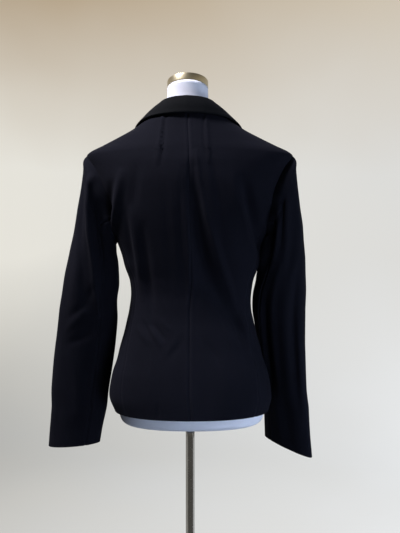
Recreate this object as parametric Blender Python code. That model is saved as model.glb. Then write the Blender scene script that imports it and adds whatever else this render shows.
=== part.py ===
# A fitted, single-breasted tailored blazer worn on a limbless form with a pole and a round base.
# Metres, +Z up. The garment's front faces -Y and the wearer's left is +X.
# The origin is on the floor, at the middle of the base's underside.

import math

import bmesh
import bpy
import numpy as np
from mathutils import Matrix, Vector

# Driving dimensions of the garment
HEM_Z = 0.857
UNDERARM_Z = 1.190
SHOULDER_TIP_Z = 1.360
NECK_SEAM_Z = 1.439
BREAK_Z = 1.150
GORGE_Z = 1.398
GORGE_X = 0.0565
FRONT_NECK_Z = 1.4355
FRONT_NECK_X = 0.0683
WRAP = 0.018
CLOTH = 0.002
SEAM = 0.0002
WRAP_LIFT = 0.0032
WRAP_START = 0.075
WRAP_FULL = 0.035
CORNER_RADIUS = 0.060
HEM_ROWS = (0.008, 0.024, 0.048)

# Armhole: how far it reaches round to the back and front, in degrees from the side
ARMHOLE_BACK = 24.0
ARMHOLE_FRONT = 27.0
ARMHOLE_STEP = 15.0
ARMHOLE_JOIN = 120.0
ARMHOLE_MIDDLE_X = 0.178
ARMHOLE_MIDDLE_Z = (SHOULDER_TIP_Z + UNDERARM_Z) / 2
ARMHOLE_HALF = (SHOULDER_TIP_Z - UNDERARM_Z) / 2

# Level cuts through the body, from hem to neck.
# The power shapes a cut: 1 is an ellipse, less is squarer and more is sharper at the side.
BODY_COLUMNS = ("z", "half_width", "back", "front", "power")
BODY = (
    (0.857, 0.1525, 0.1170, 0.1180, 0.88),
    (0.886, 0.1610, 0.1155, 0.1180, 0.88),
    (0.928, 0.1550, 0.1105, 0.1150, 0.88),
    (0.959, 0.1450, 0.1045, 0.1110, 0.88),
    (0.982, 0.1395, 0.0995, 0.1070, 0.88),
    (1.012, 0.1310, 0.0940, 0.1025, 0.88),
    (1.034, 0.1260, 0.0895, 0.0995, 0.88),
    (1.055, 0.1215, 0.0870, 0.0980, 0.88),
    (1.080, 0.1195, 0.0860, 0.0970, 0.88),
    (1.108, 0.1220, 0.0885, 0.1000, 0.88),
    (1.142, 0.1335, 0.0945, 0.1090, 0.88),
    (1.165, 0.1388, 0.0985, 0.1160, 0.88),
    (1.190, 0.1470, 0.1020, 0.1230, 0.88),
    (1.220, 0.1570, 0.1060, 0.1290, 0.89),
    (1.260, 0.1690, 0.1095, 0.1280, 0.91),
    (1.300, 0.1820, 0.1110, 0.1160, 0.95),
    (1.335, 0.1955, 0.1080, 0.1000, 1.04),
    (1.360, 0.2055, 0.1020, 0.0860, 1.14),
    (1.367, 0.1990, 0.1000, 0.0830, 1.16),
    (1.379, 0.1750, 0.0955, 0.0780, 1.18),
    (1.394, 0.1450, 0.0890, 0.0710, 1.16),
    (1.409, 0.1160, 0.0820, 0.0650, 1.10),
    (1.424, 0.0920, 0.0760, 0.0600, 1.02),
    (1.439, 0.0690, 0.0700, 0.0560, 0.95),
)

# The whole garment and its form stand a little to one side, level by level
LEAN_COLUMNS = ("z", "shift")
LEAN = (
    (0.857, -0.0030),
    (0.900, 0.0000),
    (1.050, 0.0000),
    (1.100, -0.0025),
    (1.140, -0.0030),
    (1.190, -0.0015),
    (1.250, 0.0000),
    (1.350, 0.0005),
    (1.400, 0.0030),
    (1.440, 0.0050),
)

# Seams round the body, in degrees from the side, below the armhole
SEAM_COLUMNS = ("z", "side_back", "side_front")
SEAMS = (
    (0.857, 40.0, -54.0),
    (0.886, 38.5, -53.0),
    (1.000, 31.0, -50.0),
    (1.080, 28.0, -47.0),
    (1.140, 26.0, -41.0),
    (1.200, 22.5, -30.0),
)

# Largest folds of the back: a soft trough (negative) or ridge along two straight runs
FOLD_COLUMNS = ("x0", "z0", "x1", "z1", "x2", "z2", "height", "spread")
BACK_FOLDS = (
    (-0.001, 1.315, -0.015, 1.170, -0.070, 1.010, -0.0065, 0.010),
    (-0.027, 1.235, -0.062, 1.138, -0.112, 1.010, 0.0035, 0.009),
    (-0.050, 1.180, -0.083, 1.100, -0.105, 1.040, -0.0035, 0.009),
    (0.117, 1.235, 0.096, 1.106, 0.068, 1.026, -0.0045, 0.010),
    (0.138, 1.320, 0.133, 1.250, 0.138, 1.180, 0.0050, 0.014),
    (-0.128, 1.310, -0.136, 1.240, -0.140, 1.180, 0.0040, 0.014),
)
FRONT_FOLDS = (
    (0.125, 1.240, 0.105, 1.130, 0.060, 1.070, -0.0030, 0.012),
    (-0.125, 1.240, -0.105, 1.130, -0.060, 1.070, -0.0035, 0.012),
    (0.085, 1.060, 0.100, 0.980, 0.110, 0.900, 0.0025, 0.014),
)

# Sleeves: the outer and inner edge of each cut, and how deep it is behind and before their line.
# Distances outward are from the body's middle plane.
SLEEVE_COLUMNS = ("out_x", "out_y", "out_z", "in_x", "in_y", "in_z", "deep_back", "deep_front")
SLEEVE_LEFT = (
    (0.2110, 0.000, 1.343, 0.1520, 0.000, 1.181, 0.053, 0.060),
    (0.2160, 0.000, 1.303, 0.1505, 0.000, 1.168, 0.056, 0.060),
    (0.2240, 0.000, 1.258, 0.1475, 0.000, 1.150, 0.056, 0.058),
    (0.2330, -0.001, 1.213, 0.1460, -0.001, 1.130, 0.054, 0.055),
    (0.2450, -0.002, 1.168, 0.1450, -0.002, 1.105, 0.051, 0.052),
    (0.2565, -0.004, 1.118, 0.1475, -0.004, 1.075, 0.047, 0.048),
    (0.2630, -0.007, 1.062, 0.1460, -0.007, 1.040, 0.043, 0.044),
    (0.2690, -0.010, 1.005, 0.1495, -0.010, 0.995, 0.039, 0.040),
    (0.2760, -0.014, 0.950, 0.1560, -0.014, 0.948, 0.036, 0.036),
    (0.2810, -0.017, 0.895, 0.1640, -0.017, 0.900, 0.033, 0.033),
    (0.2855, -0.020, 0.840, 0.1735, -0.020, 0.850, 0.031, 0.031),
    (0.2890, -0.023, 0.805, 0.1815, -0.023, 0.815, 0.029, 0.029),
    (0.2915, -0.025, 0.776, 0.1870, -0.025, 0.784, 0.028, 0.028),
)
SLEEVE_RIGHT = (
    (0.2105, 0.000, 1.343, 0.1500, 0.000, 1.181, 0.053, 0.060),
    (0.2140, 0.003, 1.303, 0.1460, -0.002, 1.170, 0.056, 0.060),
    (0.2185, 0.008, 1.260, 0.1420, -0.006, 1.155, 0.054, 0.058),
    (0.2230, 0.014, 1.215, 0.1395, -0.014, 1.135, 0.051, 0.056),
    (0.2225, 0.020, 1.170, 0.1365, -0.022, 1.112, 0.046, 0.053),
    (0.2195, 0.025, 1.120, 0.1335, -0.031, 1.085, 0.040, 0.051),
    (0.2195, 0.026, 1.065, 0.1340, -0.039, 1.050, 0.033, 0.049),
    (0.2185, 0.025, 1.010, 0.1385, -0.049, 1.005, 0.027, 0.046),
    (0.2200, 0.022, 0.955, 0.1445, -0.062, 0.960, 0.023, 0.042),
    (0.2230, 0.017, 0.905, 0.1500, -0.073, 0.915, 0.021, 0.038),
    (0.2270, 0.012, 0.855, 0.1535, -0.079, 0.872, 0.021, 0.035),
    (0.2320, 0.007, 0.805, 0.1550, -0.081, 0.828, 0.023, 0.032),
    (0.2370, 0.004, 0.759, 0.1565, -0.082, 0.783, 0.025, 0.031),
)
SLEEVE_SEAM = 120.0
SLEEVE_RINGS = 17

# The sleeve starts clear of the armhole, by a little more under the arm, along its hang
SLEEVE_HANG = (0.95, 0.0, -0.31)
SLEEVE_GAP_TOP = 0.0007
SLEEVE_GAP_MORE = 0.0010

# Folds along a sleeve: where round it, in degrees from the outer edge through the back
SLEEVE_FOLD_COLUMNS = ("turn", "start_z", "end_z", "height", "spread")
LEFT_FOLDS = (
    (118.0, 1.330, 1.150, -0.0070, 16.0),
    (62.0, 1.300, 0.990, 0.0040, 16.0),
    (255.0, 1.300, 1.140, -0.0050, 18.0),
    (150.0, 1.120, 0.960, -0.0030, 20.0),
)
RIGHT_FOLDS = (
    (116.0, 1.320, 1.140, -0.0080, 16.0),
    (40.0, 1.310, 1.060, -0.0030, 10.0),
    (64.0, 1.130, 0.840, -0.0040, 13.0),
    (255.0, 1.300, 1.140, -0.0050, 18.0),
)

# Collar: its seam to the body, its roll line and where its fall ends on the body
COLLAR_COLUMNS = ("seam", "seam_z", "roll_x", "roll_y", "roll_z", "fall", "fall_z")
COLLAR = (
    (90.0, 1.4390, 0.0000, 0.0670, 1.4620, 90.0, 1.4300),
    (66.5, 1.4390, 0.0235, 0.0620, 1.4610, 63.5, 1.4295),
    (43.5, 1.4390, 0.0430, 0.0475, 1.4590, 41.0, 1.4280),
    (21.0, 1.4390, 0.0525, 0.0260, 1.4570, 20.0, 1.4245),
    (3.0, 1.4392, 0.0550, 0.0000, 1.4550, 0.0, 1.4190),
    (-34.5, 1.4345, 0.0555, -0.0250, 1.4490, -24.0, 1.4080),
    (-49.0, 1.4220, 0.0570, -0.0440, 1.4350, -43.5, 1.3940),
    (-58.0, 1.4105, 0.0585, -0.0590, 1.4180, -53.0, 1.3825),
    (-65.0, 1.4010, 0.0570, -0.0680, 1.4050, -57.0, 1.3805),
)
COLLAR_CLOTH = 0.0024
COLLAR_LIFT = 0.0028
ROLL_HALF_WIDTH = 0.0026
COLLAR_BOW = 0.0018

# Lapel: its free edge from the foot of the roll line to the notch
LAPEL_COLUMNS = ("share", "edge_x", "edge_z")
LAPEL = (
    (0.00, 0.0100, 1.2160),
    (0.20, 0.0350, 1.2280),
    (0.45, 0.0660, 1.2620),
    (0.75, 0.0970, 1.3100),
    (1.00, 0.1170, 1.3520),
)
LAPEL_FOOT_Z = 1.224
LAPEL_TOP_Z = 1.3955
LAPEL_ROLL = 0.0030

# The form inside: how far below the cloth's face it lies, level by level
FORM_COLUMNS = ("z", "inset")
FORM_INSET = (
    (0.857, 0.0075),
    (0.886, 0.0100),
    (1.000, 0.0105),
    (1.080, 0.0100),
    (1.200, 0.0105),
    (1.300, 0.0095),
    (1.340, 0.0060),
    (1.360, 0.0036),
    (1.372, 0.0030),
    (1.420, 0.0032),
    (1.439, 0.0038),
)
FORM_HALF_SHOULDER = 0.186
RIM_COLUMNS = ("z", "shrink")
FORM_RIM = (
    (0.832, 0.0190),
    (0.8335, 0.0130),
    (0.838, 0.0070),
    (0.846, 0.0030),
)
NECK_COLUMNS = ("z", "radius")
FORM_NECK = (
    (1.446, 0.0560),
    (1.453, 0.0480),
    (1.464, 0.0430),
    (1.480, 0.0410),
    (1.4945, 0.0405),
)
NECK_TILT = 12.0
CAP_RADIUS = 0.0410
CAP_THICKNESS = 0.0155
CAP_BEVEL = 0.0022

# Stand
POLE_RADIUS = 0.009
BASE_COLUMNS = ("radius", "z")
BASE_PROFILE = (
    (0.155, 0.000),
    (0.155, 0.006),
    (0.152, 0.009),
    (0.100, 0.013),
    (0.040, 0.018),
    (0.020, 0.022),
    (0.017, 0.040),
    (0.015, 0.042),
)

# Front fastening
BUTTON_RADIUS = 0.010
BUTTON_THICKNESS = 0.0035
BUTTON_BEVEL = 0.0008
BUTTON_SHANK = 0.0011
BUTTON_LEVELS = (("button_upper", 1.132), ("button_lower", 1.052))

FIT = 0.0003


def column(rows, columns, name):
    index = columns.index(name)
    return np.array([row[index] for row in rows], float)


def smooth_slopes(x, y):
    """Slopes for a curve through the rows that never overshoots them."""
    step = np.diff(x)
    rise = np.diff(y) / step
    slopes = np.zeros(len(x))
    slopes[0] = rise[0]
    slopes[-1] = rise[-1]
    for i in range(1, len(x) - 1):
        if rise[i - 1] * rise[i] > 0:
            slopes[i] = 2 * rise[i - 1] * rise[i] / (rise[i - 1] + rise[i])
    return slopes


class Curve:
    """A smooth curve through one column of a table."""

    def __init__(self, rows, columns, name, along="z"):
        self.x = column(rows, columns, along)
        self.y = column(rows, columns, name)
        if self.x[0] > self.x[-1]:
            self.x = self.x[::-1]
            self.y = self.y[::-1]
        self.slopes = smooth_slopes(self.x, self.y)

    def __call__(self, at):
        at = min(max(at, self.x[0]), self.x[-1])
        i = int(np.searchsorted(self.x, at, side="right")) - 1
        i = min(max(i, 0), len(self.x) - 2)
        run = self.x[i + 1] - self.x[i]
        t = (at - self.x[i]) / run
        start = self.y[i] * (1 + 2 * t) * (1 - t) ** 2 + self.slopes[i] * run * t * (1 - t) ** 2
        end = self.y[i + 1] * t * t * (3 - 2 * t) + self.slopes[i + 1] * run * t * t * (t - 1)
        return float(start + end)


half_width = Curve(BODY, BODY_COLUMNS, "half_width")
back_depth = Curve(BODY, BODY_COLUMNS, "back")
front_depth = Curve(BODY, BODY_COLUMNS, "front")
cut_power = Curve(BODY, BODY_COLUMNS, "power")
side_back = Curve(SEAMS, SEAM_COLUMNS, "side_back")
side_front = Curve(SEAMS, SEAM_COLUMNS, "side_front")
lean = Curve(LEAN, LEAN_COLUMNS, "shift")


def smoothstep(low, high, value):
    t = min(max((value - low) / (high - low), 0.0), 1.0)
    return t * t * (3 - 2 * t)


def signed_power(value, power):
    return math.copysign(abs(value) ** power, value)


def bare_surface(angle, z):
    """The body's surface without folds: angle in degrees from +X, towards the back."""
    turn = math.radians(angle)
    depth = back_depth(z) if math.sin(turn) > 0 else front_depth(z)
    power = cut_power(z)
    x = half_width(z) * signed_power(math.cos(turn), power)
    y = depth * signed_power(math.sin(turn), power)
    return Vector((x, y, z))


def surface_normal(angle, z):
    step_a = 1.5
    step_z = 0.004
    round_it = bare_surface(angle + step_a, z) - bare_surface(angle - step_a, z)
    low = max(z - step_z, HEM_Z)
    high = min(z + step_z, NECK_SEAM_Z)
    up = bare_surface(angle, high) - bare_surface(angle, low)
    return round_it.cross(up).normalized()


def run_share(x, z, x0, z0, x1, z1):
    """Distance from a straight run, and how far along it the nearest point is."""
    length = math.hypot(x1 - x0, z1 - z0)
    along = ((x - x0) * (x1 - x0) + (z - z0) * (z1 - z0)) / length ** 2
    along = min(max(along, 0.0), 1.0)
    return math.hypot(x - x0 - along * (x1 - x0), z - z0 - along * (z1 - z0)), along


def fold_height(x, z, rows):
    total = 0.0
    for x0, z0, x1, z1, x2, z2, height, spread in rows:
        first, along_first = run_share(x, z, x0, z0, x1, z1)
        second, along_second = run_share(x, z, x1, z1, x2, z2)
        share = along_first / 2 if first < second else 0.5 + along_second / 2
        fade = math.sin(math.pi * (0.04 + 0.92 * share)) ** 0.6
        total += height * fade * math.exp(-(min(first, second) / spread) ** 2)
    return total


def body_point(angle, z, lift=0.0):
    """A point of the cloth's outer face, moved out by lift."""
    point = bare_surface(angle, z)
    rows = BACK_FOLDS if point.y > 0 else FRONT_FOLDS
    fade = smoothstep(0.0, 0.03, abs(point.y))
    normal = surface_normal(angle, z)
    return point + normal * (lift + fade * fold_height(point.x, z, rows))


def angle_at(x, z):
    """The front angle whose point lies at x."""
    share = min(abs(x) / half_width(z), 1.0)
    angle = math.degrees(math.acos(share ** (1 / cut_power(z))))
    return -angle if x >= 0 else angle - 180


def armhole(turn):
    """Angle and height of the armhole: turn 0 at the shoulder tip, 90 at the back."""
    side = math.sin(math.radians(turn))
    reach = ARMHOLE_BACK if side > 0 else ARMHOLE_FRONT
    return reach * side, ARMHOLE_MIDDLE_Z + ARMHOLE_HALF * math.cos(math.radians(turn))


def mirrored(angle, side):
    return angle if side > 0 else 180 - angle


def closed_cloth(name, outer, inner, material):
    """A cloth wall between an outer and an inner grid of points, closed at its edges."""
    rows = len(outer)
    columns = len(outer[0])
    mesh = bmesh.new()
    top = [[mesh.verts.new(p) for p in row] for row in outer]
    low = [[mesh.verts.new(p) for p in row] for row in inner]
    for r in range(rows - 1):
        for c in range(columns - 1):
            mesh.faces.new((top[r][c], top[r][c + 1], top[r + 1][c + 1], top[r + 1][c]))
            mesh.faces.new((low[r][c], low[r + 1][c], low[r + 1][c + 1], low[r][c + 1]))
    for c in range(columns - 1):
        mesh.faces.new((top[0][c], low[0][c], low[0][c + 1], top[0][c + 1]))
        mesh.faces.new((top[-1][c], top[-1][c + 1], low[-1][c + 1], low[-1][c]))
    for r in range(rows - 1):
        mesh.faces.new((top[r][0], top[r + 1][0], low[r + 1][0], low[r][0]))
        mesh.faces.new((top[r][-1], low[r][-1], low[r + 1][-1], top[r + 1][-1]))
    return finish(name, mesh, material)


def finish(name, mesh, material):
    bmesh.ops.recalc_face_normals(mesh, faces=mesh.faces)
    if name not in ("pole", "base", "neck_cap"):
        for vert in mesh.verts:
            vert.co.x += lean(vert.co.z)
    data = bpy.data.meshes.new(name)
    mesh.to_mesh(data)
    mesh.free()
    data.shade_smooth()
    data.set_sharp_from_angle(angle=math.radians(50))
    data.materials.append(material)
    piece = bpy.data.objects.new(name, data)
    bpy.context.scene.collection.objects.link(piece)
    return piece


def drawn_in(outer, inner, amount=SEAM):
    """Both grids with their edges drawn in, which leaves the seam's gap."""
    rows = len(outer)
    columns = len(outer[0])
    shift = [[Vector() for _ in row] for row in outer]
    for r in range(rows):
        shift[r][0] += (outer[r][1] - outer[r][0]).normalized() * amount
        shift[r][-1] += (outer[r][-2] - outer[r][-1]).normalized() * amount
    for c in range(columns):
        shift[0][c] += (outer[1][c] - outer[0][c]).normalized() * amount
        shift[-1][c] += (outer[-2][c] - outer[-1][c]).normalized() * amount
    pairs = []
    for grid in (outer, inner):
        pairs.append([[p + s for p, s in zip(row, moves)] for row, moves in zip(grid, shift)])
    return pairs


def panel(name, places, side, material, lift_rule=None):
    """A body panel from a grid of (angle, z) places on the wearer's left, or mirrored."""
    outer = []
    inner = []
    for row in places:
        face = []
        back = []
        for angle, z in row:
            turned = mirrored(angle, side)
            lift = lift_rule(bare_surface(turned, z).x) if lift_rule else 0.0
            face.append(body_point(turned, z, lift))
            back.append(body_point(turned, z, lift - CLOTH))
        outer.append(face)
        inner.append(back)
    outer, inner = drawn_in(outer, inner)
    return closed_cloth(name, outer, inner, material)


def levels():
    """Heights of the rows shared by the back and front panels."""
    join_z = armhole(ARMHOLE_JOIN)[1]
    rows = [HEM_Z, HEM_Z + HEM_ROWS[0], HEM_Z + HEM_ROWS[1]]
    rows += list(np.linspace(HEM_Z + HEM_ROWS[2], join_z, 11))
    turn = ARMHOLE_JOIN - ARMHOLE_STEP
    while turn > -1:
        rows.append(armhole(turn)[1])
        turn -= ARMHOLE_STEP
    ridge = [row[0] for row in BODY if row[0] > SHOULDER_TIP_Z + FIT]
    return rows + ridge


def outer_angle(z, back):
    """Where a back or front panel ends towards the side: seam, armhole or shoulder."""
    join_z = armhole(ARMHOLE_JOIN)[1]
    if z > SHOULDER_TIP_Z - 1e-6:
        return 0.0
    if z > join_z - 1e-6:
        side = math.sqrt(max(1 - ((z - ARMHOLE_MIDDLE_Z) / ARMHOLE_HALF) ** 2, 0.0))
        return ARMHOLE_BACK * side if back else -ARMHOLE_FRONT * side
    join_angle = armhole(ARMHOLE_JOIN if back else -ARMHOLE_JOIN)[0]
    seam = side_back(z) if back else side_front(z)
    top_seam = side_back(join_z) if back else side_front(join_z)
    return seam + (join_angle - top_seam) * smoothstep(1.10, join_z, z)


def roll_line_x(z):
    """The crease of the lapel, from the wrap's edge at the break to the gorge."""
    return -WRAP + (GORGE_X + WRAP) * (z - BREAK_Z) / (GORGE_Z - BREAK_Z)


def front_edge_x(z):
    """The front's free edge, seen from the front, for the wearer's left front."""
    if z < HEM_Z + CORNER_RADIUS:
        drop = 1 - (z - HEM_Z) / CORNER_RADIUS
        return -WRAP + CORNER_RADIUS * (1 - math.sqrt(1 - drop * drop * 0.94))
    if z < BREAK_Z:
        return -WRAP
    if z < GORGE_Z:
        return roll_line_x(z)
    rise = (z - GORGE_Z) / (FRONT_NECK_Z - GORGE_Z)
    return GORGE_X + (FRONT_NECK_X - GORGE_X) * math.sin(rise * math.pi / 2)


def wrap_lift(x):
    """The wearer's right front lies over the left one near the middle."""
    return WRAP_LIFT * smoothstep(-WRAP_START, -WRAP_FULL, x)


def back_places():
    grid = []
    for z in levels():
        start = outer_angle(z, True)
        grid.append([(start + (90 - start) * c / 12, z) for c in range(13)])
    return grid


def front_places():
    grid = []
    for z in levels():
        if z > FRONT_NECK_Z:
            z = FRONT_NECK_Z
        start = outer_angle(z, False)
        end = angle_at(front_edge_x(z), z)
        if end > 0:
            end -= 360
        grid.append([(start + (end - start) * c / 9, z) for c in range(10)])
    return grid


def side_places():
    """The panel under the arm, between its two seams and the armhole's lower arc."""
    join_z = armhole(ARMHOLE_JOIN)[1]
    columns = 8
    grid = []
    for z in [level for level in levels() if level < join_z + FIT]:
        v = (z - HEM_Z) / (join_z - HEM_Z)
        low_angle = outer_angle(z, False)
        high_angle = outer_angle(z, True)
        line = []
        for c in range(columns + 1):
            u = c / columns
            turn = -ARMHOLE_JOIN - (360 - 2 * ARMHOLE_JOIN) * u
            arc_angle, arc_z = armhole(turn)
            chord = (1 - u) * outer_angle(join_z, False) + u * outer_angle(join_z, True)
            angle = (1 - u) * low_angle + u * high_angle + v * (arc_angle - chord)
            line.append((angle, z + v * (arc_z - join_z)))
        grid.append(line)
    return grid


def lapel_grid(side):
    """The lapel lies on the front's face and stands up softly at its roll."""
    edge_x = Curve(LAPEL, LAPEL_COLUMNS, "edge_x", "share")
    edge_z = Curve(LAPEL, LAPEL_COLUMNS, "edge_z", "share")
    outer = []
    inner = []
    for r in range(15):
        share = r / 14
        roll_z = LAPEL_FOOT_Z + (LAPEL_TOP_Z - LAPEL_FOOT_Z) * share
        roll_x = roll_line_x(roll_z) + 0.0006
        face = []
        under = []
        for c in range(6):
            u = c / 5
            x = roll_x + (edge_x(share) - roll_x) * u
            z = roll_z + (edge_z(share) - roll_z) * u
            angle = mirrored(angle_at(x, z), side)
            stand = 2 * FIT + LAPEL_ROLL * (1 - u) ** 2 * (1 - 0.5 * share)
            if side < 0:
                stand += wrap_lift(-x)
            face.append(body_point(angle, z, stand + CLOTH))
            under.append(body_point(angle, z, stand))
        outer.append(face)
        inner.append(under)
    return outer, inner


def collar_grid():
    """Stand and fall in one sheet, from the neck seam over the roll to its free edge."""
    stations = np.linspace(0, len(COLLAR) - 1, 17)
    numbered = [(i,) + row for i, row in enumerate(COLLAR)]
    names = ("station",) + COLLAR_COLUMNS
    curves = {name: Curve(numbered, names, name, "station") for name in COLLAR_COLUMNS}
    half = []
    for at in stations:
        value = {name: curves[name](at) for name in COLLAR_COLUMNS}
        seam = bare_surface(value["seam"], value["seam_z"]) + Vector((0, 0, 2 * FIT))
        roll = Vector((value["roll_x"], value["roll_y"], value["roll_z"]))
        fall = body_point(value["fall"], value["fall_z"], COLLAR_LIFT)
        outward = Vector((fall.x - seam.x, fall.y - seam.y, 0))
        if at < 4:
            outward = Vector((seam.x, seam.y, 0))
        outward.normalize()
        half_roll = min(ROLL_HALF_WIDTH, 0.35 * (roll - seam).length)
        near = roll - outward * half_roll
        far = roll + outward * half_roll
        crest = roll + Vector((0, 0, 0.8 * half_roll))
        drop = fall - far
        bow = Vector((outward.x, outward.y, 0.6)) * COLLAR_BOW * min(drop.length / 0.04, 1)
        profile = [seam, seam.lerp(near, 0.5), near, crest, far]
        for share in (0.25, 0.5, 0.75, 1.0):
            profile.append(far + drop * share + bow * math.sin(math.pi * share))
        half.append(profile)
    left = half[::-1]
    right = [[Vector((-p.x, p.y, p.z)) for p in profile] for profile in half[1:]]
    return left + right


def grid_normals(grid):
    rows = len(grid)
    columns = len(grid[0])
    normals = []
    for r in range(rows):
        line = []
        for c in range(columns):
            along = grid[min(r + 1, rows - 1)][c] - grid[max(r - 1, 0)][c]
            across = grid[r][min(c + 1, columns - 1)] - grid[r][max(c - 1, 0)]
            line.append(along.cross(across).normalized())
        normals.append(line)
    return normals


def build_collar(material):
    under = collar_grid()
    normals = grid_normals(under)
    middle = len(under) // 2
    facing = 1 if normals[middle][-2].y > 0 else -1
    face = []
    for row, line in zip(under, normals):
        face.append([p + n * facing * COLLAR_CLOTH for p, n in zip(row, line)])
    under, face = drawn_in(under, face)
    return closed_cloth("collar", face, under, material)


def sleeve_rings(rows, folds, side):
    """Rings of outer and inner points from the armhole to the cuff."""
    turns = [ARMHOLE_STEP * i for i in range(24)]
    numbered = [(i,) + row for i, row in enumerate(rows)]
    names = ("ring",) + SLEEVE_COLUMNS
    curves = {name: Curve(numbered, names, name, "ring") for name in SLEEVE_COLUMNS}
    centre = Vector((ARMHOLE_MIDDLE_X, 0, ARMHOLE_MIDDLE_Z))
    outer = []
    first = []
    for turn in turns:
        angle, z = armhole(turn)
        point = bare_surface(angle, z)
        step = SLEEVE_GAP_TOP + SLEEVE_GAP_MORE * (1 - math.cos(math.radians(turn))) / 2
        first.append(point + Vector(SLEEVE_HANG) * step)
    outer.append(first)
    for ring in np.linspace(0, len(rows) - 1, SLEEVE_RINGS):
        value = {name: curves[name](ring) for name in SLEEVE_COLUMNS}
        out_edge = Vector((value["out_x"], value["out_y"], value["out_z"]))
        in_edge = Vector((value["in_x"], value["in_y"], value["in_z"]))
        middle = (out_edge + in_edge) / 2
        across = (out_edge - in_edge) / 2
        back = Vector((0, 1, 0))
        back = (back - across * back.dot(across) / across.length_squared).normalized()
        line = []
        for turn in turns:
            cosine = math.cos(math.radians(turn))
            sine = math.sin(math.radians(turn))
            deep = value["deep_back"] if sine > 0 else value["deep_front"]
            point = middle + across * cosine + back * sine * deep
            line.append(point)
        outer.append(line)
    normals = ring_normals(outer)
    shaped = []
    inside = []
    for r, row in enumerate(outer):
        face = []
        hollow = []
        for turn, point, normal in zip(turns, row, normals[r]):
            moved = point
            if r > 0:
                moved = point + normal * sleeve_fold(turn, point.z, folds)
            inward = (centre - point).normalized() if r == 0 else -normal
            face.append(moved)
            hollow.append(moved + inward * CLOTH)
        shaped.append(face)
        inside.append(hollow)
    if side < 0:
        shaped = [[Vector((-p.x, p.y, p.z)) for p in row] for row in shaped]
        inside = [[Vector((-p.x, p.y, p.z)) for p in row] for row in inside]
    return shaped, inside


def ring_normals(rings):
    count = len(rings[0])
    normals = []
    for r, ring in enumerate(rings):
        middle = sum(ring, Vector()) / count
        line = []
        for c in range(count):
            along = rings[min(r + 1, len(rings) - 1)][c] - rings[max(r - 1, 0)][c]
            across = ring[(c + 1) % count] - ring[c - 1]
            normal = along.cross(across).normalized()
            if normal.dot(ring[c] - middle) < 0:
                normal = -normal
            line.append(normal)
        normals.append(line)
    return normals


def sleeve_fold(turn, z, folds):
    total = 0.0
    for centre, start_z, end_z, height, spread in folds:
        away = (turn - centre + 180) % 360 - 180
        share = (start_z - z) / (start_z - end_z)
        if 0 < share < 1:
            total += height * math.sin(math.pi * share) * math.exp(-(away / spread) ** 2)
    return total


def build_sleeve(label, rows, folds, side, material):
    outer, inner = sleeve_rings(rows, folds, side)
    first = round(SLEEVE_SEAM / ARMHOLE_STEP)
    under_columns = list(range(first, 24 - first + 1))
    upper_columns = list(range(24 - first, 24)) + list(range(0, first + 1))
    for part, columns in (("upper", upper_columns), ("under", under_columns)):
        face = [[row[c] for c in columns] for row in outer]
        hollow = [[row[c] for c in columns] for row in inner]
        face, hollow = drawn_in(face, hollow)
        closed_cloth(f"sleeve_{label}_{part}", face, hollow, material)


def build_form(material):
    """The smooth limbless form: body, rounded shoulders and neck in one closed solid."""
    count = 28
    inset = Curve(FORM_INSET, FORM_COLUMNS, "inset")
    rings = []
    for z, shrink in FORM_RIM:
        rings.append(form_ring(HEM_Z, inset(HEM_Z) + shrink, count, z))
    heights = [0.857, 0.886, 0.928, 0.970, 1.012, 1.046, 1.080, 1.114, 1.148, 1.182, 1.216]
    heights += [1.250, 1.284, 1.318, 1.345, 1.360, 1.367, 1.379, 1.394, 1.409, 1.424, 1.4365]
    for z in heights:
        rings.append(form_ring(z, inset(z), count, z))
    tilt = math.tan(math.radians(NECK_TILT))
    for i, (z, radius) in enumerate(FORM_NECK):
        lean = tilt * (i + 1) / len(FORM_NECK)
        ring = []
        for c in range(count):
            turn = 2 * math.pi * c / count
            y = radius * math.sin(turn)
            ring.append(Vector((radius * math.cos(turn), y, z + lean * y)))
        rings.append(ring)
    return closed_rings("form_torso", rings, material)


def form_ring(z, inset, count, place_z):
    ring = []
    for c in range(count):
        angle = 360 * c / count
        point = bare_surface(angle, z) - surface_normal(angle, z) * inset
        x = math.copysign(min(abs(point.x), FORM_HALF_SHOULDER), point.x)
        ring.append(Vector((x, point.y, place_z + (point.z - z) * (place_z == z))))
    return ring


def closed_rings(name, rings, material):
    mesh = bmesh.new()
    loops = [[mesh.verts.new(p) for p in ring] for ring in rings]
    count = len(rings[0])
    for low, high in zip(loops, loops[1:]):
        for c in range(count):
            d = (c + 1) % count
            mesh.faces.new((low[c], low[d], high[d], high[c]))
    mesh.faces.new(loops[0][::-1])
    mesh.faces.new(loops[-1])
    return finish(name, mesh, material)


def turned(name, profile, count, material):
    """A solid turned about the upright axis, closed at both ends."""
    rings = []
    for radius, z in profile:
        rings.append([Vector((radius * math.cos(2 * math.pi * c / count),
                              radius * math.sin(2 * math.pi * c / count), z))
                      for c in range(count)])
    return closed_rings(name, rings, material)


def bevelled_disc(radius, thickness, bevel):
    return (
        (radius - bevel, 0.0),
        (radius - 0.3 * bevel, 0.3 * bevel),
        (radius, bevel),
        (radius, thickness - bevel),
        (radius - 0.3 * bevel, thickness - 0.3 * bevel),
        (radius - bevel, thickness),
    )


def build_cap(material):
    """The metal disc that closes the neck, tilted with it."""
    cap = turned("neck_cap", bevelled_disc(CAP_RADIUS, CAP_THICKNESS, CAP_BEVEL), 28, material)
    place = Vector((lean(FORM_NECK[-1][0]), 0, FORM_NECK[-1][0] + FIT))
    cap.data.transform(Matrix.Translation(place) @ Matrix.Rotation(math.radians(NECK_TILT), 4, "X"))
    return cap


def build_stand(material):
    turned("base", BASE_PROFILE, 28, material)
    foot = BASE_PROFILE[-1][1] + FIT
    head = FORM_RIM[0][0] - FIT
    turned("pole", ((POLE_RADIUS, foot), (POLE_RADIUS, head)), 24, material)


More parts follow.
